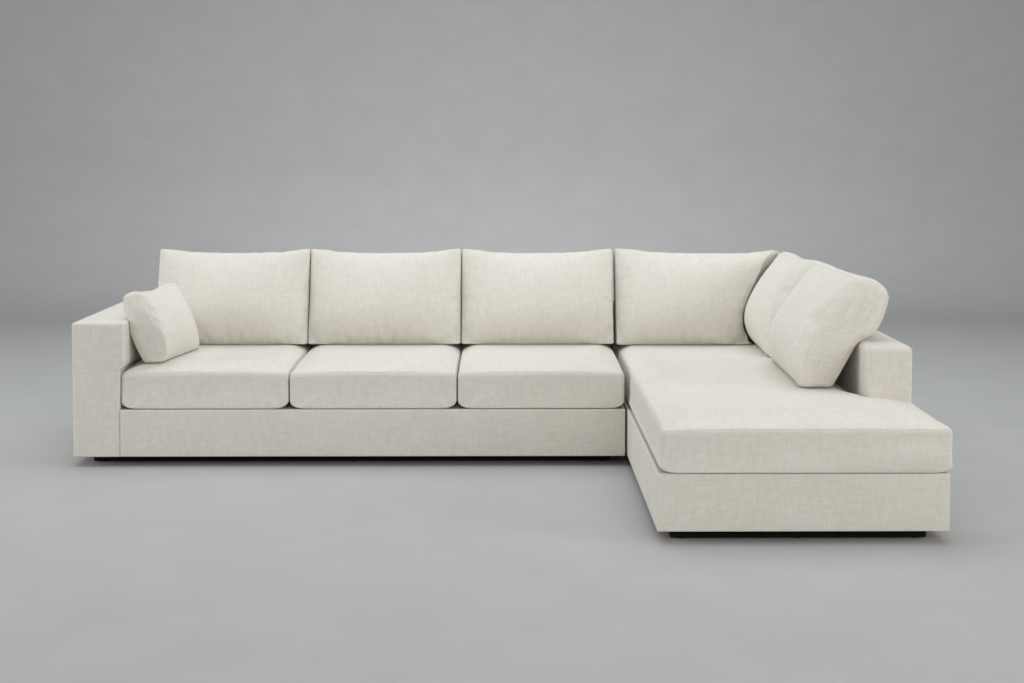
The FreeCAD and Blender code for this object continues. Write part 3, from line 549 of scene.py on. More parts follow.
# %% The springs in their places
low, high = corners("sofa_springs")
level = (low[2] + high[2]) / 2
reach = BAR / 2 + SPRING_STEP / 2 + WIRE
path = spring_path(high[1] - low[1] - 2 * WIRE)
starts = np.linspace(low[0] + reach, high[0] - reach, SOFA_SPRINGS)[:, None]
routes = joined(starts + path[:, 0], low[1] + WIRE + path[:, 1], level)
spring_set("sofa_wire_springs", "sofa_unit", "sofa_springs", [routes])

low, high = corners("chaise_springs")
starts = np.linspace(low[1] + reach, high[1] - reach, CHAISE_SPRINGS)
groups = []
for group, end in ((starts[starts < LOW_BACK_END], high[0] - WIRE),
                   (starts[starts > LOW_BACK_END], LOW_BACK_INSIDE - CLIP_ROOM)):
    path = spring_path(end - low[0] - WIRE)
    groups.append(joined(low[0] + WIRE + path[:, 1], group[:, None] + path[:, 0], level))
spring_set("chaise_wire_springs", "chaise_unit", "chaise_springs", groups)

# %% [markdown]
# A seat cushion is a box of foam with a crown. It is highest in the middle, it falls towards the
# sides and the front, its lower side corners are rounded, and it is flat only where it lies on
# the deck. It could be sculpted, but as a formula the three cushions match and meet the cushions
# behind them at a known height.

# %% Seat cushions
PLAY = 0.0005
CELL = 0.014
SEAT_ROUND = 0.021
SEAT_EDGE = 0.428
SEAT_CROWN = 0.456
CROWN_RUN = 0.24
NOSE_DEPTH = 0.32
EDGE_DROP, CROWN_DROP = 0.010, 0.030
CORNER_LIFT, CORNER_RUN = 0.026, 0.060


def seat_form(points, size, crown, right_edge):
    """Heights are stretched to a top that depends on the place: an edge line and a crown, both
    lower near the front, joined by a parabola from the side edge to the flat of the crown. The
    lower side corners are lifted in a curve."""
    x, y, z = points.T
    near_front = np.clip(1 - y / NOSE_DEPTH, 0, 1) ** 2
    edge = size[2] - EDGE_DROP * near_front
    middle = size[2] + crown - CROWN_DROP * near_front
    beside = np.minimum(x, right_edge(y) - x)
    top = middle - (middle - edge) * np.clip(1 - beside / CROWN_RUN, 0, 1) ** 2
    share = z / size[2]
    lift = CORNER_LIFT * np.clip(1 - beside / CORNER_RUN, 0, 1) ** 2 * (1 - share) ** 3
    return joined(x, y, top * share + lift)


def cushion(name, points, quads, uv, number, **more):
    """What is known of a cushion before it is filled. The first word of its name is its kind."""
    kind = name.split("_")[0]
    low, high = corners(name + "_cover")
    return {"name": name, "kind": kind, "leans": kind in ("back", "side", "arm"), "points": points,
            "quads": quads, "uv": uv, "number": number, "low": low, "high": high, **more}


def seat(name):
    """A seat cushion in its CAD box."""
    low, high = corners(name + "_cover")
    size = high - low - (2 * PLAY, 0, 0)
    size[2] -= SEAT_CROWN - SEAT_EDGE
    points, quads, sides, number = lattice(*(lines(length, CELL, SEAT_ROUND) for length in size))
    uv = cloth_map(points, quads, sides)
    points = rounded(points, np.zeros(3), size, SEAT_ROUND)
    points = seat_form(points, size, SEAT_CROWN - SEAT_EDGE, lambda y: size[0])
    return cushion(name, points + low + (PLAY, 0, 0), quads, uv, number)


cushions = [seat("seat_cushion_" + side) for side in ("left", "middle", "right")]
print("seat cushions", [len(c["quads"]) for c in cushions], "faces")


# %% An L seen from above
OUT_OF_REACH = 9.0


def l_shape(size, narrow, notch, step, radius):
    """A box without its far right corner: full width in front of the notch line, narrow behind
    it. Gives the rounded points, the faces, the table of point numbers, the cloth map and the
    two numbers of the lines at the notch."""
    xs = np.concatenate([lines(narrow, step, radius),
                         lines(size[0] - narrow, step, radius)[1:] + narrow])
    ys = np.concatenate([lines(notch, step, radius),
                         lines(size[1] - notch, step, radius)[1:] + notch])
    zs = lines(size[2], step, radius)
    middle_x, middle_y = (xs[1:] + xs[:-1]) / 2, (ys[1:] + ys[:-1]) / 2
    inside = (middle_x[:, None] < narrow) | (middle_y[None, :] < notch)
    inside = np.repeat(inside[:, :, None], len(zs) - 1, axis=2)
    points, quads, sides, number = lattice(xs, ys, zs, inside)
    uv = cloth_map(points, quads, sides)
    # Every point has its own far side. In front of the notch the narrow part has none near it.
    beside, before = points[:, 0] > narrow + 1e-6, points[:, 1] < notch - 1e-6
    far_side = np.tile(size, (len(points), 1))
    far_side[~beside & before, 0] = OUT_OF_REACH
    far_side[~beside & ~before, 0] = narrow
    far_side[beside, 1] = notch
    points = rounded(points, np.zeros_like(points), far_side, radius)
    turn = (int(np.argmin(np.abs(xs - narrow))), int(np.argmin(np.abs(ys - notch))))
    return points, quads, number, uv, turn


# %% The chaise's deck
low, high = corners("chaise_deck")
points, quads, _, uv, _ = l_shape(high - low, LOW_BACK_INSIDE - low[0], LOW_BACK_END - low[1],
                                  0.05, DECK_ROUND)
deck = mesh_object("chaise_seat_deck", points + low, quads, uv)
deck.data.materials.append(deck_cloth)
take_place(deck, "chaise_unit", "chaise_deck", slot="deck_fabric")
print("chaise deck", len(quads), "faces")

# %% The long chaise cushion
CHAISE_CROWN = 0.452
CHAISE_ROUND = 0.020
CHAISE_CELL = 0.018
CHAISE_PLAY = 0.001
NOTCH_GAP = 0.0015
NOTCH_RUN = 0.12


def chaise():
    """The same form over an L: full width in front of the low back, narrow beside it. The crown
    changes from the one width to the other over a hand's breadth behind the notch."""
    low, high = corners("chaise_cushion_cover")
    size = high - low - (2 * CHAISE_PLAY, 0, 0)
    size[2] -= CHAISE_CROWN - SEAT_EDGE
    narrow = LOW_BACK_INSIDE - NOTCH_GAP - low[0] - CHAISE_PLAY
    notch = LOW_BACK_END - NOTCH_GAP - low[1]
    points, quads, number, uv, turn = l_shape(size, narrow, notch, CHAISE_CELL, CHAISE_ROUND)

    def right_edge(y):
        return narrow + (size[0] - narrow) * (1 - smooth(y, notch, notch + NOTCH_RUN))

    points = seat_form(points, size, CHAISE_CROWN - SEAT_EDGE, right_edge)
    return cushion("chaise_cushion", points + low + (CHAISE_PLAY, 0, 0), quads, uv, number,
                   notch=turn)


cushions.append(chaise())
print("chaise", len(cushions[-1]["quads"]), "faces")

# %% [markdown]
# The back, side and arm cushions lean on the edge of a wall. Their rear is straight along the
# lean, their bottom lies on the seat, and their front swells to a belly a third of the way up.
# Towards most ends the belly dies away, and the top corners stand up as small ears or hang. A
# simulation could drop a cushion against the wall, but then it would not lean along the direction
# in which its joint lifts it. So the lean is a formula, and only the fullness is simulated.

# %% Leaning cushions
WALL_TOP = 0.645
REST_GAP = 0.0003
SOFA_REST, CHAISE_REST = 0.4563, 0.4523
BACK_ROUND = 0.013
# Shares of the height or of the belly, and how fast each form fades.
BELLY_HEIGHT = 0.36
END_FADE = 2.6
SHOULDER_FROM, SHOULDER_FULL = 0.45, 0.68
END_PUFF = 0.55
TOP_DOME, SHOULDER_DOME = 0.006, 0.4


def leaning(points, size, lean, bottom, top, belly, ear, rear_belly=0.012, ends=(0.06, 0.06),
            shoulders=(0.0, 0.0), rear_from=0.45):
    """Maps box points to (along, out from the wall, height). The lean turns the box about the
    wall's rounded edge, by degrees that may differ at the two ends. The belly is a parabola over
    the height, fullest at a third, times a fullness along the length, which falls to its start
    and end values at the two ends. The rear swells only above rear_from, and each end by its
    share of the belly. The upper rear may hang back over the wall by a shoulder that changes
    along the length, and the top is a low dome."""
    along, depth, height = (points / size).T
    angle = np.radians(lean[0] + (lean[1] - lean[0]) * along)
    s, c = np.sin(angle), np.cos(angle)
    rest = -EDGE_ROUND * c + (WALL_TOP - EDGE_ROUND) * s + EDGE_ROUND + REST_GAP
    full = 1 - (1 - np.where(along < 0.5, ends[0], ends[1])) * np.abs(1 - 2 * along) ** END_FADE
    below = np.clip((BELLY_HEIGHT - height) / BELLY_HEIGHT, 0, 1)
    above = np.clip((height - BELLY_HEIGHT) / (1 - BELLY_HEIGHT), 0, 1)
    swell = belly * full * (1 - below ** 2 - above ** 2) * depth ** 1.5
    over_wall = np.clip((height - rear_from) / (1 - rear_from), 0, 1)
    swell = swell - rear_belly * full * np.sin(np.pi * over_wall) * (1 - depth) ** 2
    shoulder = shoulders[0] + (shoulders[1] - shoulders[0]) * along ** 2
    hangs = smooth(height, SHOULDER_FROM, SHOULDER_FULL)
    swell = swell - shoulder * hangs * (1 - depth) ** 1.5
    flat_reach = rest + points[:, 1]
    reach = flat_reach + swell
    up_low = (bottom - flat_reach * s) / c
    up_high = (top + ear * (1 - 2 * along) ** 2 - (rest + size[1]) * s) / c
    dome = (TOP_DOME + SHOULDER_DOME * shoulder) * height ** 8 * np.sin(np.pi * depth.clip(0, 1))
    up = up_low + height * (up_high - up_low) + dome
    face = np.sin(np.pi * np.clip(depth, 0, 1)) * np.sin(np.pi * np.clip(height, 0, 1)) ** 0.7
    at_start, at_end = np.clip(1 - 2 * along, 0, 1) ** 3, np.clip(2 * along - 1, 0, 1) ** 3
    puff = face * belly * END_PUFF * (at_end * ends[1] - at_start * ends[0])
    return points[:, 0] + puff, reach * c - up * s, reach * s + up * c


# %% One leaning cushion
def leaning_cushion(name, size, place, edge=BACK_ROUND, squeeze=None, **form):
    """A leaning cushion from its length, the width between its seams, and a height that is
    stretched to fit between its bottom and top. Place turns (along, out, height) into a point of
    the frame; squeeze may first change how far along a point is."""
    size = np.array(size)
    points, quads, sides, number = lattice(*(lines(one, CELL, edge) for one in size))
    uv = cloth_map(points, quads, sides)
    points = rounded(points, np.zeros(3), size, edge)
    along, out, height = leaning(points, size, **form)
    if squeeze is not None:
        along = squeeze(along, out, height)
    return cushion(name, place(along, out, height), quads, uv, number)


# %% Back cushions on the rear back
lift = axes["back_cushion_left_lift"]
BACK_LEAN = math.degrees(math.atan2(lift[1], lift[2]))
BACK_SEAM = 0.134
TALL = 0.47
NARROW_RUN = 0.12
BACK_FORM = {"lean": (BACK_LEAN, BACK_LEAN), "top": 0.911, "belly": 0.088, "ear": 0.005}


def on_rear_back(start):
    """Places a cushion against the rear back, from its left end to the right."""
    return lambda along, out, height: joined(start + along, BACK_INSIDE - out, height)


def over_arm(along, out, height):
    """The first cushion is narrower below the arm's top, where it stands beside the padding."""
    edge = (ARM_PAD + PLAY) * (1 - smooth(height, WALL_TOP + 0.004, WALL_TOP + 0.05))
    return along + edge * np.clip(1 - along / NARROW_RUN, 0, 1)


for side in ("left", "middle", "right"):
    name = "back_cushion_" + side
    low, high = corners(name + "_cover")
    cushions.append(leaning_cushion(
        name, (high[0] - low[0] - 2 * PLAY, BACK_SEAM, TALL), on_rear_back(low[0] + PLAY),
        squeeze=over_arm if side == "left" else None, bottom=SOFA_REST, **BACK_FORM))
print("back lean", round(BACK_LEAN, 2))

# %% Side cushions on the low back
SIDE_SEAM = 0.117
SIDE_ROUND = 0.022
FAR_LEAN = 20.7
SIDE_FORM = {"bottom": CHAISE_REST, "top": 0.904, "belly": 0.10, "ear": -0.006, "rear_belly": 0.014}
SIDE_FORMS = {
    "far": {"lean": (FAR_LEAN, 24.6), "ends": (0.06, -0.1), "shoulders": (0.0, 0.03)},
    "near": {"lean": (24.6, 29.0), "ends": (-0.1, 0.9), "shoulders": (0.03, 0.042)}}


def on_low_back(start):
    """Places a cushion against the low back, from its far end to the front."""
    return lambda along, out, height: joined(LOW_BACK_INSIDE - out, start - along, height)


for side, form in SIDE_FORMS.items():
    name = "side_cushion_" + side
    low, high = corners(name + "_cover")
    cushions.append(leaning_cushion(
        name, (high[1] - low[1] - 2 * PLAY, SIDE_SEAM, TALL), on_low_back(high[1] - PLAY),
        edge=SIDE_ROUND, **SIDE_FORM, **form))
    print(name, len(cushions[-1]["quads"]), "faces")

# %% [markdown]
# The last back cushion is squeezed beside the far side cushion. Its end follows that cushion's
# front. Both must still lift out, so the end keeps clear of everything that the side cushion
# passes through as it slides up along its lean. Cutting one shape out of the other would leave a
# sharp edge. A table of how far the front reaches lets whole arrays of points follow it.

# %% What the side cushion sweeps as it lifts
LEAN_SIN, LEAN_COS = math.sin(math.radians(FAR_LEAN)), math.cos(math.radians(FAR_LEAN))
TABLE_CELL = 0.012
TABLE_START = 0.2
TABLE_SHAPE = (70, 90)


def highest(cells, values, shape):
    """A table of the highest value of the points in each cell and in the cells round it."""
    table = np.full(shape, -1.0)
    np.maximum.at(table, cells, values)
    for axis in (0, 1):
        table = np.maximum(table, np.maximum(np.roll(table, 1, axis), np.roll(table, -1, axis)))
    return table


def sampled(table, row, column):
    """Values of a table between its cells, mixed from the four nearest ones."""
    row, column = row.clip(0, table.shape[0] - 1.01), column.clip(0, table.shape[1] - 1.01)
    i, j = row.astype(int), column.astype(int)
    a, b = row - i, column - j
    return ((1 - a) * (1 - b) * table[i, j] + a * (1 - b) * table[i + 1, j]
            + (1 - a) * b * table[i, j + 1] + a * b * table[i + 1, j + 1])


def swept_front(points):
    """A table over (y, distance up the lean): how far the points at that y, and at or below that
    distance, reach into the seat, square to the lean. The running maximum is the sweep of the
    lift."""
    out = LOW_BACK_INSIDE - points[:, 0]
    reach = out * LEAN_COS + points[:, 2] * LEAN_SIN
    up = points[:, 2] * LEAN_COS - out * LEAN_SIN
    row = ((points[:, 1] - TABLE_START) / TABLE_CELL).astype(int).clip(0, TABLE_SHAPE[0] - 1)
    column = ((up - TABLE_START) / TABLE_CELL).astype(int).clip(0, TABLE_SHAPE[1] - 1)
    return np.maximum.accumulate(highest((row, column), reach, TABLE_SHAPE), axis=1)


def right_limit(points, table, gap):
    """The largest x at which each point stays the gap clear of the swept front. The point's own
    place up the lean depends on x, so the limit is found in six rounds, half a step in each."""
    x = np.full(len(points), LOW_BACK_INSIDE - 0.1)
    row = (points[:, 1] - TABLE_START) / TABLE_CELL - 0.5
    for _ in range(6):
        up = points[:, 2] * LEAN_COS - (LOW_BACK_INSIDE - x) * LEAN_SIN
        reach = sampled(table, row, (up - TABLE_START) / TABLE_CELL - 0.5)
        wanted = (reach + gap - points[:, 2] * LEAN_SIN) / LEAN_COS
        x = 0.5 * x + 0.5 * (LOW_BACK_INSIDE - wanted)
    return x


# %% The squeezed back cushion
CORNER_ROOM = 0.03
GAP_BEFORE, GAP_AFTER = 0.004, 0.002
named = {c["name"]: c for c in cushions}
front_table = swept_front(named["side_cushion_far"]["points"])
print("the side cushion sweeps", int((front_table > 0).sum()), "of", front_table.size, "cells")
corner_left = corners("back_cushion_corner_cover")[0][0] + PLAY
CORNER_LENGTH = LOW_BACK_INSIDE - CORNER_ROOM - corner_left


def squeezed(along, out, height):
    """The right end slides to the limit beside the side cushion; the left end stays."""
    here = joined(along, BACK_INSIDE - out, height)
    limit = np.minimum(right_limit(here, front_table, GAP_BEFORE) - corner_left, CORNER_LENGTH)
    return along / CORNER_LENGTH * limit


cushions.append(leaning_cushion(
    "back_cushion_corner", (CORNER_LENGTH, BACK_SEAM, TALL), on_rear_back(corner_left),
    squeeze=squeezed, bottom=CHAISE_REST, **BACK_FORM))

# %% The small arm pillow
PILLOW_SIZE = (0.430, 0.084, 0.33)
PILLOW_LEAN = 22.0
PILLOW_TURN = math.radians(-10.0)
FROM_ARM_FRONT = 0.102
PILLOW_START = arm_low[1] + FROM_ARM_FRONT


def pillow_place(along, out, height):
    """Out from the arm's inner side, then turned about the pillow's near lower end."""
    c, s = math.cos(PILLOW_TURN), math.sin(PILLOW_TURN)
    return joined(ARM_INSIDE + out * c - along * s, PILLOW_START + out * s + along * c, height)


cushions.append(leaning_cushion(
    "arm_pillow", PILLOW_SIZE, pillow_place, edge=0.019, lean=(PILLOW_LEAN, PILLOW_LEAN),
    bottom=SOFA_REST, top=0.772, belly=0.055, ear=0.006, rear_belly=0.026, ends=(0.9, 0.3),
    rear_from=-0.2))
print("cushions", [(c["name"], len(c["quads"])) for c in cushions])

# %% [markdown]
# The loose covers get their fullness from the cloth solver: air pressure from inside, no gravity,
# twenty frames. A plain inflated formula would be quicker, but the solver gives the slight waves
# of real cloth. The cloth is held where it rests, and its seams stay short while the rest may
# grow a little, which puckers the cloth beside them.

# %% Cloth settings
PRESSURE = 4.0
FRAMES = 20
GROWTH = {"seat": 0.020, "chaise": 0.008, "back": 0.045, "side": 0.04, "arm": 0.012}


def held_points(c):
    """Numbers of the points that don't move: the underside and the hidden rear, and of those, on
    a leaning cushion, only the ones up to the top of the wall."""
    held = np.zeros(len(c["points"]), bool)
    for face in (c["number"][:, :, 0], c["number"][:, 0 if c["leans"] else -1, :]):
        held[face[face >= 0]] = True
    if c["leans"]:
        held &= c["points"][:, 2] < WALL_TOP + 0.02
    return np.flatnonzero(held)


def rim(panel):
    """The rim of a sheet of point numbers, as one closed row."""
    return np.concatenate([panel[:-1, 0], panel[-1, :-1], panel[:0:-1, -1], panel[0, :0:-1]])


def seam_lines(c):
    """Closed rows of point numbers round the two big panels of the boxed cover. The L-shaped
    panel's row takes the two sides of its notch in place of the missing corner."""
    n = c["number"]
    rows = []
    for level in (0, -1):
        panel = n[:, level, :] if c["leans"] else n[:, :, level]
        if "notch" in c:
            i, j = c["notch"]
            rows.append(np.concatenate([panel[:-1, 0], panel[-1, :j], panel[:i:-1, j],
                                        panel[i, j:-1], panel[i:0:-1, -1], panel[0, :0:-1]]))
        else:
            rows.append(rim(panel))
    return rows


# %% Cloth on every cushion
def with_cloth(c):
    """The cushion's mesh with a Cloth modifier, pinned where it rests and tight at its seams."""
    piece = mesh_object(c["name"], c["points"], c["quads"], c["uv"])
    pins = piece.vertex_groups.new(name="held")
    pins.add(held_points(c).tolist(), 1.0, "REPLACE")
    seams = piece.vertex_groups.new(name="seams")
    seams.add(np.concatenate(seam_lines(c)).tolist(), 1.0, "REPLACE")
    cloth = piece.modifiers.new("air", "CLOTH")
    settings = cloth.settings
    settings.quality = 6
    settings.mass = 0.3
    settings.tension_stiffness = settings.compression_stiffness = 18
    settings.shear_stiffness = 6
    settings.bending_stiffness = 0.6
    settings.air_damping = 2
    settings.use_pressure = True
    settings.uniform_pressure_force = PRESSURE
    settings.vertex_group_mass = "held"
    settings.vertex_group_shrink = "seams"
    settings.shrink_min, settings.shrink_max = -GROWTH[c["kind"]], 0.0
    settings.effector_weights.gravity = 0
    cloth.point_cache.frame_start, cloth.point_cache.frame_end = 1, FRAMES
    return piece


for c in cushions:
    c["piece"] = with_cloth(c)
    print(c["name"], "held at", len(held_points(c)), "of", len(c["points"]), "points")


# %% Where the solver has moved the points
def evaluated_points(piece):
    """Where the modifiers have moved the points of a piece."""
    mesh = piece.evaluated_get(bpy.context.evaluated_depsgraph_get()).data
    flat = np.empty(len(mesh.vertices) * 3, np.float32)
    mesh.vertices.foreach_get("co", flat)
    return flat.reshape(-1, 3).astype(float)


# %% Run the solver
scene = bpy.context.scene
for step in range(1, FRAMES + 1):
    scene.frame_set(step)
for c in cushions:
    moved = evaluated_points(c["piece"])
    c["air"] = moved - c["points"]
    farthest = np.linalg.norm(c["air"], axis=1).max()
    print(c["name"], "moved up to", round(float(farthest) * 1000, 1), "mm")
scene.frame_set(1)

# %% [markdown]
# The solver knows nothing of the neighbours. So its movement is capped, and each cushion is cut
# off at the planes where another piece begins. Collision objects could do this inside the solver,
# but they take much longer and leave dents. Last, the pillow and the side cushions sink onto the
# seat below them.

# %% Cap the movement and keep clear of the neighbours
CAPS = {"seat": 0.012, "chaise": 0.012, "back": 0.024, "side": 0.026, "arm": 0.022}
NO_ROOM = (0, 0, 0)
# How far a cushion may stand out of its CAD box at its low and at its high corner.
ROOM = {"seat": (NO_ROOM, NO_ROOM), "chaise": (NO_ROOM, NO_ROOM),
        "back": ((0, 0.02, 0), (0, 0.012, 0.012)),
        "side": ((0.02, 0, 0), (0.034, 0, 0.012)),
        "side_cushion_near": ((0.02, 0.026, 0), (0.034, 0, 0.012)),
        "arm": ((0.015, 0.015, 0), (0.015, 0.015, 0.015))}
# Near the ends, over this run, most of an inward movement is taken back.
END_RUN, END_FULL = 0.12, 0.01
TAKEN_BACK = 0.92


# %% A settled cushion
def settled(c, front=None):
    """The air's movement, capped, and cut off at the planes of the neighbours. Sides that face a
    neighbour hardly move inwards, because the neighbour's cover fills the gap."""
    kind = c["kind"]
    far = np.linalg.norm(c["air"], axis=1, keepdims=True)
    cap = CAPS[kind]
    step = c["air"] * cap * np.tanh(far / cap) / np.maximum(far, 1e-9)
    axis = 1 if kind == "side" else 0
    if kind in ("seat", "back", "side"):
        place = c["points"][:, axis]
        centre = (place.max() + place.min()) / 2
        half = place.max() - centre
        beside = smooth(np.abs(place - centre), half - END_RUN, half - END_FULL)
        inward = step[:, axis] * np.sign(place - centre) < 0
        step[:, axis] *= np.where(inward, 1 - TAKEN_BACK * beside, 1)
    final = c["points"] + step
    if kind == "arm":
        beside_arm = final[:, 2] < WALL_TOP + 0.004
        final[beside_arm, 0] = np.maximum(final[beside_arm, 0], ARM_INSIDE + 2 * REST_GAP)
    room_low, room_high = ROOM.get(c["name"], ROOM[kind])
    final = np.clip(final, c["low"] + REST_GAP - room_low, c["high"] - REST_GAP + room_high)
    if front is not None:
        final[:, 0] = np.minimum(final[:, 0], right_limit(final, front, GAP_AFTER))
    return final


# %% Let the leaning cushions sink onto the seats
SINK_CELL = 0.016
SINK_RUN = 0.16
SINK_GAP = 0.0012
SINK_MOST = 0.024


def sunk(c, seat_points):
    """The underside of a leaning cushion follows the seat, whose top falls towards its edges. The
    seat's height is the highest of its points in a cell and the cells round it. The underside
    moves down along the direction in which the cushion lifts, so it still clears the wall."""
    origin = seat_points[:, :2].min(0) - 2 * SINK_CELL
    shape = tuple(((seat_points[:, :2].max(0) - origin) / SINK_CELL + 3).astype(int))
    cells = ((seat_points[:, :2] - origin) / SINK_CELL).astype(int)
    table = highest(tuple(cells.T), seat_points[:, 2], shape)
    points = c["final"]
    lift = axes[c["name"] + "_lift"]
    floor = points[:, 2].min()
    low_share = 1 - smooth(points[:, 2], floor, floor + SINK_RUN)
    drop = np.zeros(len(points))
    for _ in range(3):
        place = points[:, :2] - lift[:2] / lift[2] * (drop * low_share)[:, None]
        row, column = ((place - origin) / SINK_CELL - 0.5).T
        drop = np.clip(floor - SINK_GAP - sampled(table, row, column), 0, SINK_MOST)
    print(c["name"], "sinks by up to", round(float((drop * low_share).max()) * 1000, 1), "mm")
    return points - lift / lift[2] * (drop * low_share)[:, None]


# %% Settle and sink the cushions
named = {c["name"]: c for c in cushions}
corner = named["back_cushion_corner"]
for c in cushions:
    if c is not corner:
        c["final"] = settled(c)
for name, below in (("arm_pillow", "seat_cushion_left"), ("side_cushion_far", "chaise_cushion"),
                    ("side_cushion_near", "chaise_cushion")):
    named[name]["final"] = sunk(named[name], named[below]["final"])
corner["final"] = settled(corner, swept_front(named["side_cushion_far"]["final"]))
print("settled", sum("final" in c for c in cushions), "cushions")

# %% [markdown]
# The two big panels of each cover are sewn to a boxing strip. Each seam is a fine welt that
# stands a millimetre proud. A bump in the material would not show at the outline, so the welt is
# a thin tube along the row of points where the panels meet.

# %% Seam welts
WELT = 0.0016
WELT_SUNK = 0.0006
WELT_SIDES = 6


def outward_normals(points, quads):
    """Unit normals at the points: the sum of the normals of the faces round each point."""
    a, b, c, d = (points[quads[:, k]] for k in range(4))
    face = np.cross(c - a, d - b)
    total = np.zeros_like(points)
    for k in range(4):
        np.add.at(total, quads[:, k], face)
    return total / np.maximum(np.linalg.norm(total, axis=1, keepdims=True), 1e-12)


def welt(path, normals):
    """A closed tube: a small circle in the plane of the surface normal and the cross direction."""
    tangent = np.roll(path, -1, 0) - np.roll(path, 1, 0)
    tangent /= np.maximum(np.linalg.norm(tangent, axis=1, keepdims=True), 1e-9)
    across = np.cross(tangent, normals)
    across /= np.maximum(np.linalg.norm(across, axis=1, keepdims=True), 1e-9)
    turn = np.linspace(0, 2 * np.pi, WELT_SIDES, endpoint=False)[None, :, None]
    ring = path[:, None] + WELT * (np.cos(turn) * normals[:, None] + np.sin(turn) * across[:, None])
    ids = np.arange(len(path) * WELT_SIDES).reshape(len(path), WELT_SIDES)
    after, beside = np.roll(ids, -1, 0), np.roll(ids, -1, 1)
    quads = np.stack([ids, beside, np.roll(after, -1, 1), after], axis=-1).reshape(-1, 4)
    length = np.concatenate([[0], np.cumsum(np.linalg.norm(np.diff(path, axis=0), axis=1))])
    flat = joined(length[:, None], np.arange(WELT_SIDES)[None] * WELT)
    return ring.reshape(-1, 3), quads, flat.reshape(-1, 2)[quads]


# %% A cushion with its welts
def sewn(c):
    """Points, faces and cloth map of a cushion with its welts joined on, and the number of the
    first welt's first face."""
    points, (quads, uv) = c["final"], outwards(c["final"], c["quads"], c["uv"])
    normals = outward_normals(points, quads)
    first = len(quads)
    for row in seam_lines(c):
        ring, more, flat = welt(points[row] - WELT_SUNK * normals[row], normals[row])
        quads, uv = np.concatenate([quads, more + len(points)]), np.concatenate([uv, flat])
        points = np.concatenate([points, ring])
    return points, quads, uv, first


# %% Finish the cushions
for c in cushions:
    bpy.data.objects.remove(c.pop("piece"))
    points, quads, uv, first = sewn(c)
    piece = mesh_object(c["name"], points, quads, uv)
    piece.data.materials.append(cushion_cloth)
    # The welts get the darker cloth, which is painted shade along the seams.
    piece.data.materials.append(seam_cloth_painted_shade)
    material = np.zeros(len(quads), np.int32)
    material[first:] = 1
    piece.data.polygons.foreach_set("material_index", material)
    finer = piece.modifiers.new("finer", "SUBSURF")
    finer.levels = finer.render_levels = 1
    body = c["name"]
    take_place(piece, body, body + "_cover", body + "_core", slot="cushion_fabric")
    print(body, "box", c["final"].min(0).round(3), c["final"].max(0).round(3), "quads", len(quads))

# %% [markdown]
# Under each unit a thin black cloth is stapled to the rails. It keeps the dust off, and it sags a
# few millimetres between the rails. A simulation could hang it, but nobody sees it, so a formula
# gives the sag and a few faint waves.

# %% Dust cloths
SAG = 0.004
WAVE_HEIGHT = 0.0006
DUST_CLOTH = 0.0006


def dust_sheet(name, body, node):
    """A flat grid with a shallow sag, the product of two half sines under a square root, and
    waves that fade towards the rails."""
    low, high = corners(node)
    u, v = np.meshgrid(np.linspace(0, 1, 61), np.linspace(0, 1, 41), indexing="ij")
    dome = np.sin(np.pi * u) * np.sin(np.pi * v)
    sag = SAG * dome ** 0.5
    wave = WAVE_HEIGHT * np.sin(19 * u + 3 * v) * np.sin(np.pi * u) * np.sin(np.pi * v)
    points = joined(low[0] + u * (high[0] - low[0]), low[1] + v * (high[1] - low[1]),
                    high[2] - sag + wave).reshape(-1, 3)
    ids = np.arange(len(points)).reshape(u.shape)
    quads = np.stack([ids[:-1, :-1], ids[:-1, 1:], ids[1:, 1:], ids[1:, :-1]], axis=-1)
    quads = quads.reshape(-1, 4)
    sheet = mesh_object(name, points, quads, points[quads][..., :2])
    cloth = sheet.modifiers.new("thickness", "SOLIDIFY")
    cloth.thickness = DUST_CLOTH
    cloth.offset = 0
    sheet.data.materials.append(dust_cloth)
    take_place(sheet, body, node, slot="dust_fabric")


# %% The two dust cloths
dust_sheet("sofa_dust_cloth", "sofa_unit", "sofa_dust_sheet")
dust_sheet("chaise_dust_cloth", "chaise_unit", "chaise_dust_sheet")

# %% [markdown]
# The stage is a pale seamless sweep all round the sofa, as in a studio. One large soft light
# hangs above, one stands in front, a weaker one at each side, and a small one brightens the
# backdrop. A sky picture could light the sofa too, but soft boxes are easy to place and to trim.

# %% Stage
def sweep(inner, outer, height, cells=120):
    """A round floor whose rim curves up. A square grid is pulled to a disc, so it has no pole;
    the rim's profile is a quarter of an ellipse."""
    line = np.linspace(-1, 1, cells + 1)
    u, v = np.meshgrid(line, line, indexing="ij")
    share = np.maximum(np.abs(u), np.abs(v))
    stretch = np.maximum(np.hypot(u, v), 1e-9)
    turn = np.clip((share - 0.5) / 0.5, 0, 1) * np.pi / 2
    radius = np.minimum(share, 0.5) * 2 * inner + (outer - inner) * np.sin(turn)
    points = joined(u / stretch * radius, v / stretch * radius, height * (1 - np.cos(turn)))
    points = points.reshape(-1, 3)
    ids = np.arange(len(points)).reshape(u.shape)
    quads = np.stack([ids[:-1, :-1], ids[1:, :-1], ids[1:, 1:], ids[:-1, 1:]], axis=-1)
    quads = quads.reshape(-1, 4)
    return points, quads, points[quads][..., :2]
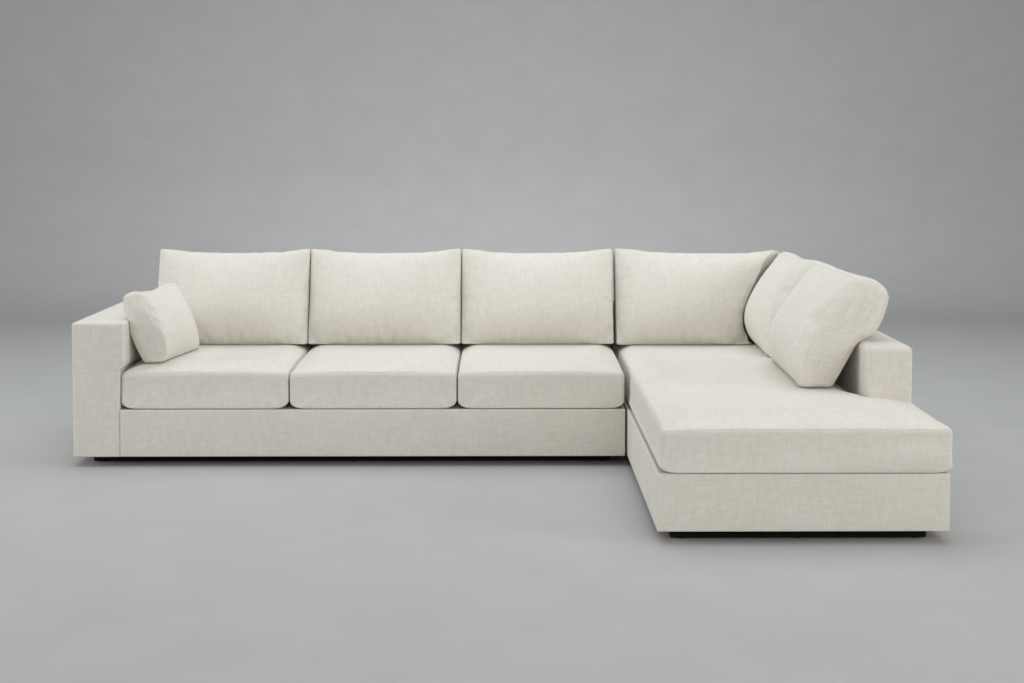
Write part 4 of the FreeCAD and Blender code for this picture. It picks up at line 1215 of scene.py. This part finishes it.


# %% The floor, its mottling and its painted shade
LIGHT_GREY, MOTTLE_AND_SHADE_GREY = (0.48, 0.48, 0.474), (0.40, 0.40, 0.397)
paint = Finish("studio_floor", (0.42, 0.42, 0.42), 0.9, Specular_IOR_Level=0.1)
here = paint.place("Object", (1, 1, 1))
height = paint.node("SeparateXYZ", {0: here}).outputs[2]
# Painted shade: the grey deepens as the sweep rises from the floor into the backdrop, over a faint random
# mottling.
tone = paint.math("ADD", paint.noise(here, 3.0), paint.ramp(height, 0.05, 1.5))
paint.color(paint.mix(paint.math("MULTIPLY", tone, 0.6, True), LIGHT_GREY, MOTTLE_AND_SHADE_GREY))
floor = mesh_object("studio_floor", *sweep(inner=7.0, outer=13.0, height=9.0))
floor.data.materials.append(paint.material)
print("floor", len(floor.data.polygons), "faces")


# %% A soft box
def softbox(name, place, target, width, height, power, color=(1, 1, 1), spread=180):
    """A rectangular light at a place, turned to its target and hidden from the camera."""
    data = bpy.data.lights.new(name, "AREA")
    data.shape = "RECTANGLE"
    data.size, data.size_y = width, height
    data.energy = power
    data.color = color
    data.spread = math.radians(spread)
    light = bpy.data.objects.new(name, data)
    light.location = place
    away = np.array(place, float) - np.array(target, float)
    light.rotation_euler = (math.atan2(math.hypot(away[0], away[1]), away[2]), 0,
                            math.atan2(away[0], -away[1]))
    light.visible_camera = False
    bpy.context.scene.collection.objects.link(light)
    print(name, power, "W")


# %% The lights
MIDDLE = (0.0, 0.0, 0.4)
COOL, WARM = (0.91, 0.965, 1.02), (1.0, 0.985, 0.96)
softbox("light_above", (0.0, 1.3, 5.2), (0.0, 1.3, 0.0), 8.0, 5.6, 240, COOL)
softbox("light_front", (1.8, -8.2, 3.6), MIDDLE, 7.0, 3.0, 242, WARM)
softbox("light_left", (-9.0, -1.2, 3.0), MIDDLE, 5.0, 3.6, 105, spread=100)
softbox("light_right", (9.0, -3.6, 3.0), MIDDLE, 5.0, 3.6, 95, spread=100)
softbox("light_backdrop", (0.0, 4.5, 4.0), (0.0, 11.0, 5.2), 1.5, 1.0, 280)
world = bpy.data.worlds.new("studio")
world.use_nodes = True
world.node_tree.nodes["Background"].inputs["Color"].default_value = (1, 1, 1, 1)
world.node_tree.nodes["Background"].inputs["Strength"].default_value = 0.28
scene.world = world
scene.view_settings.view_transform = "Standard"
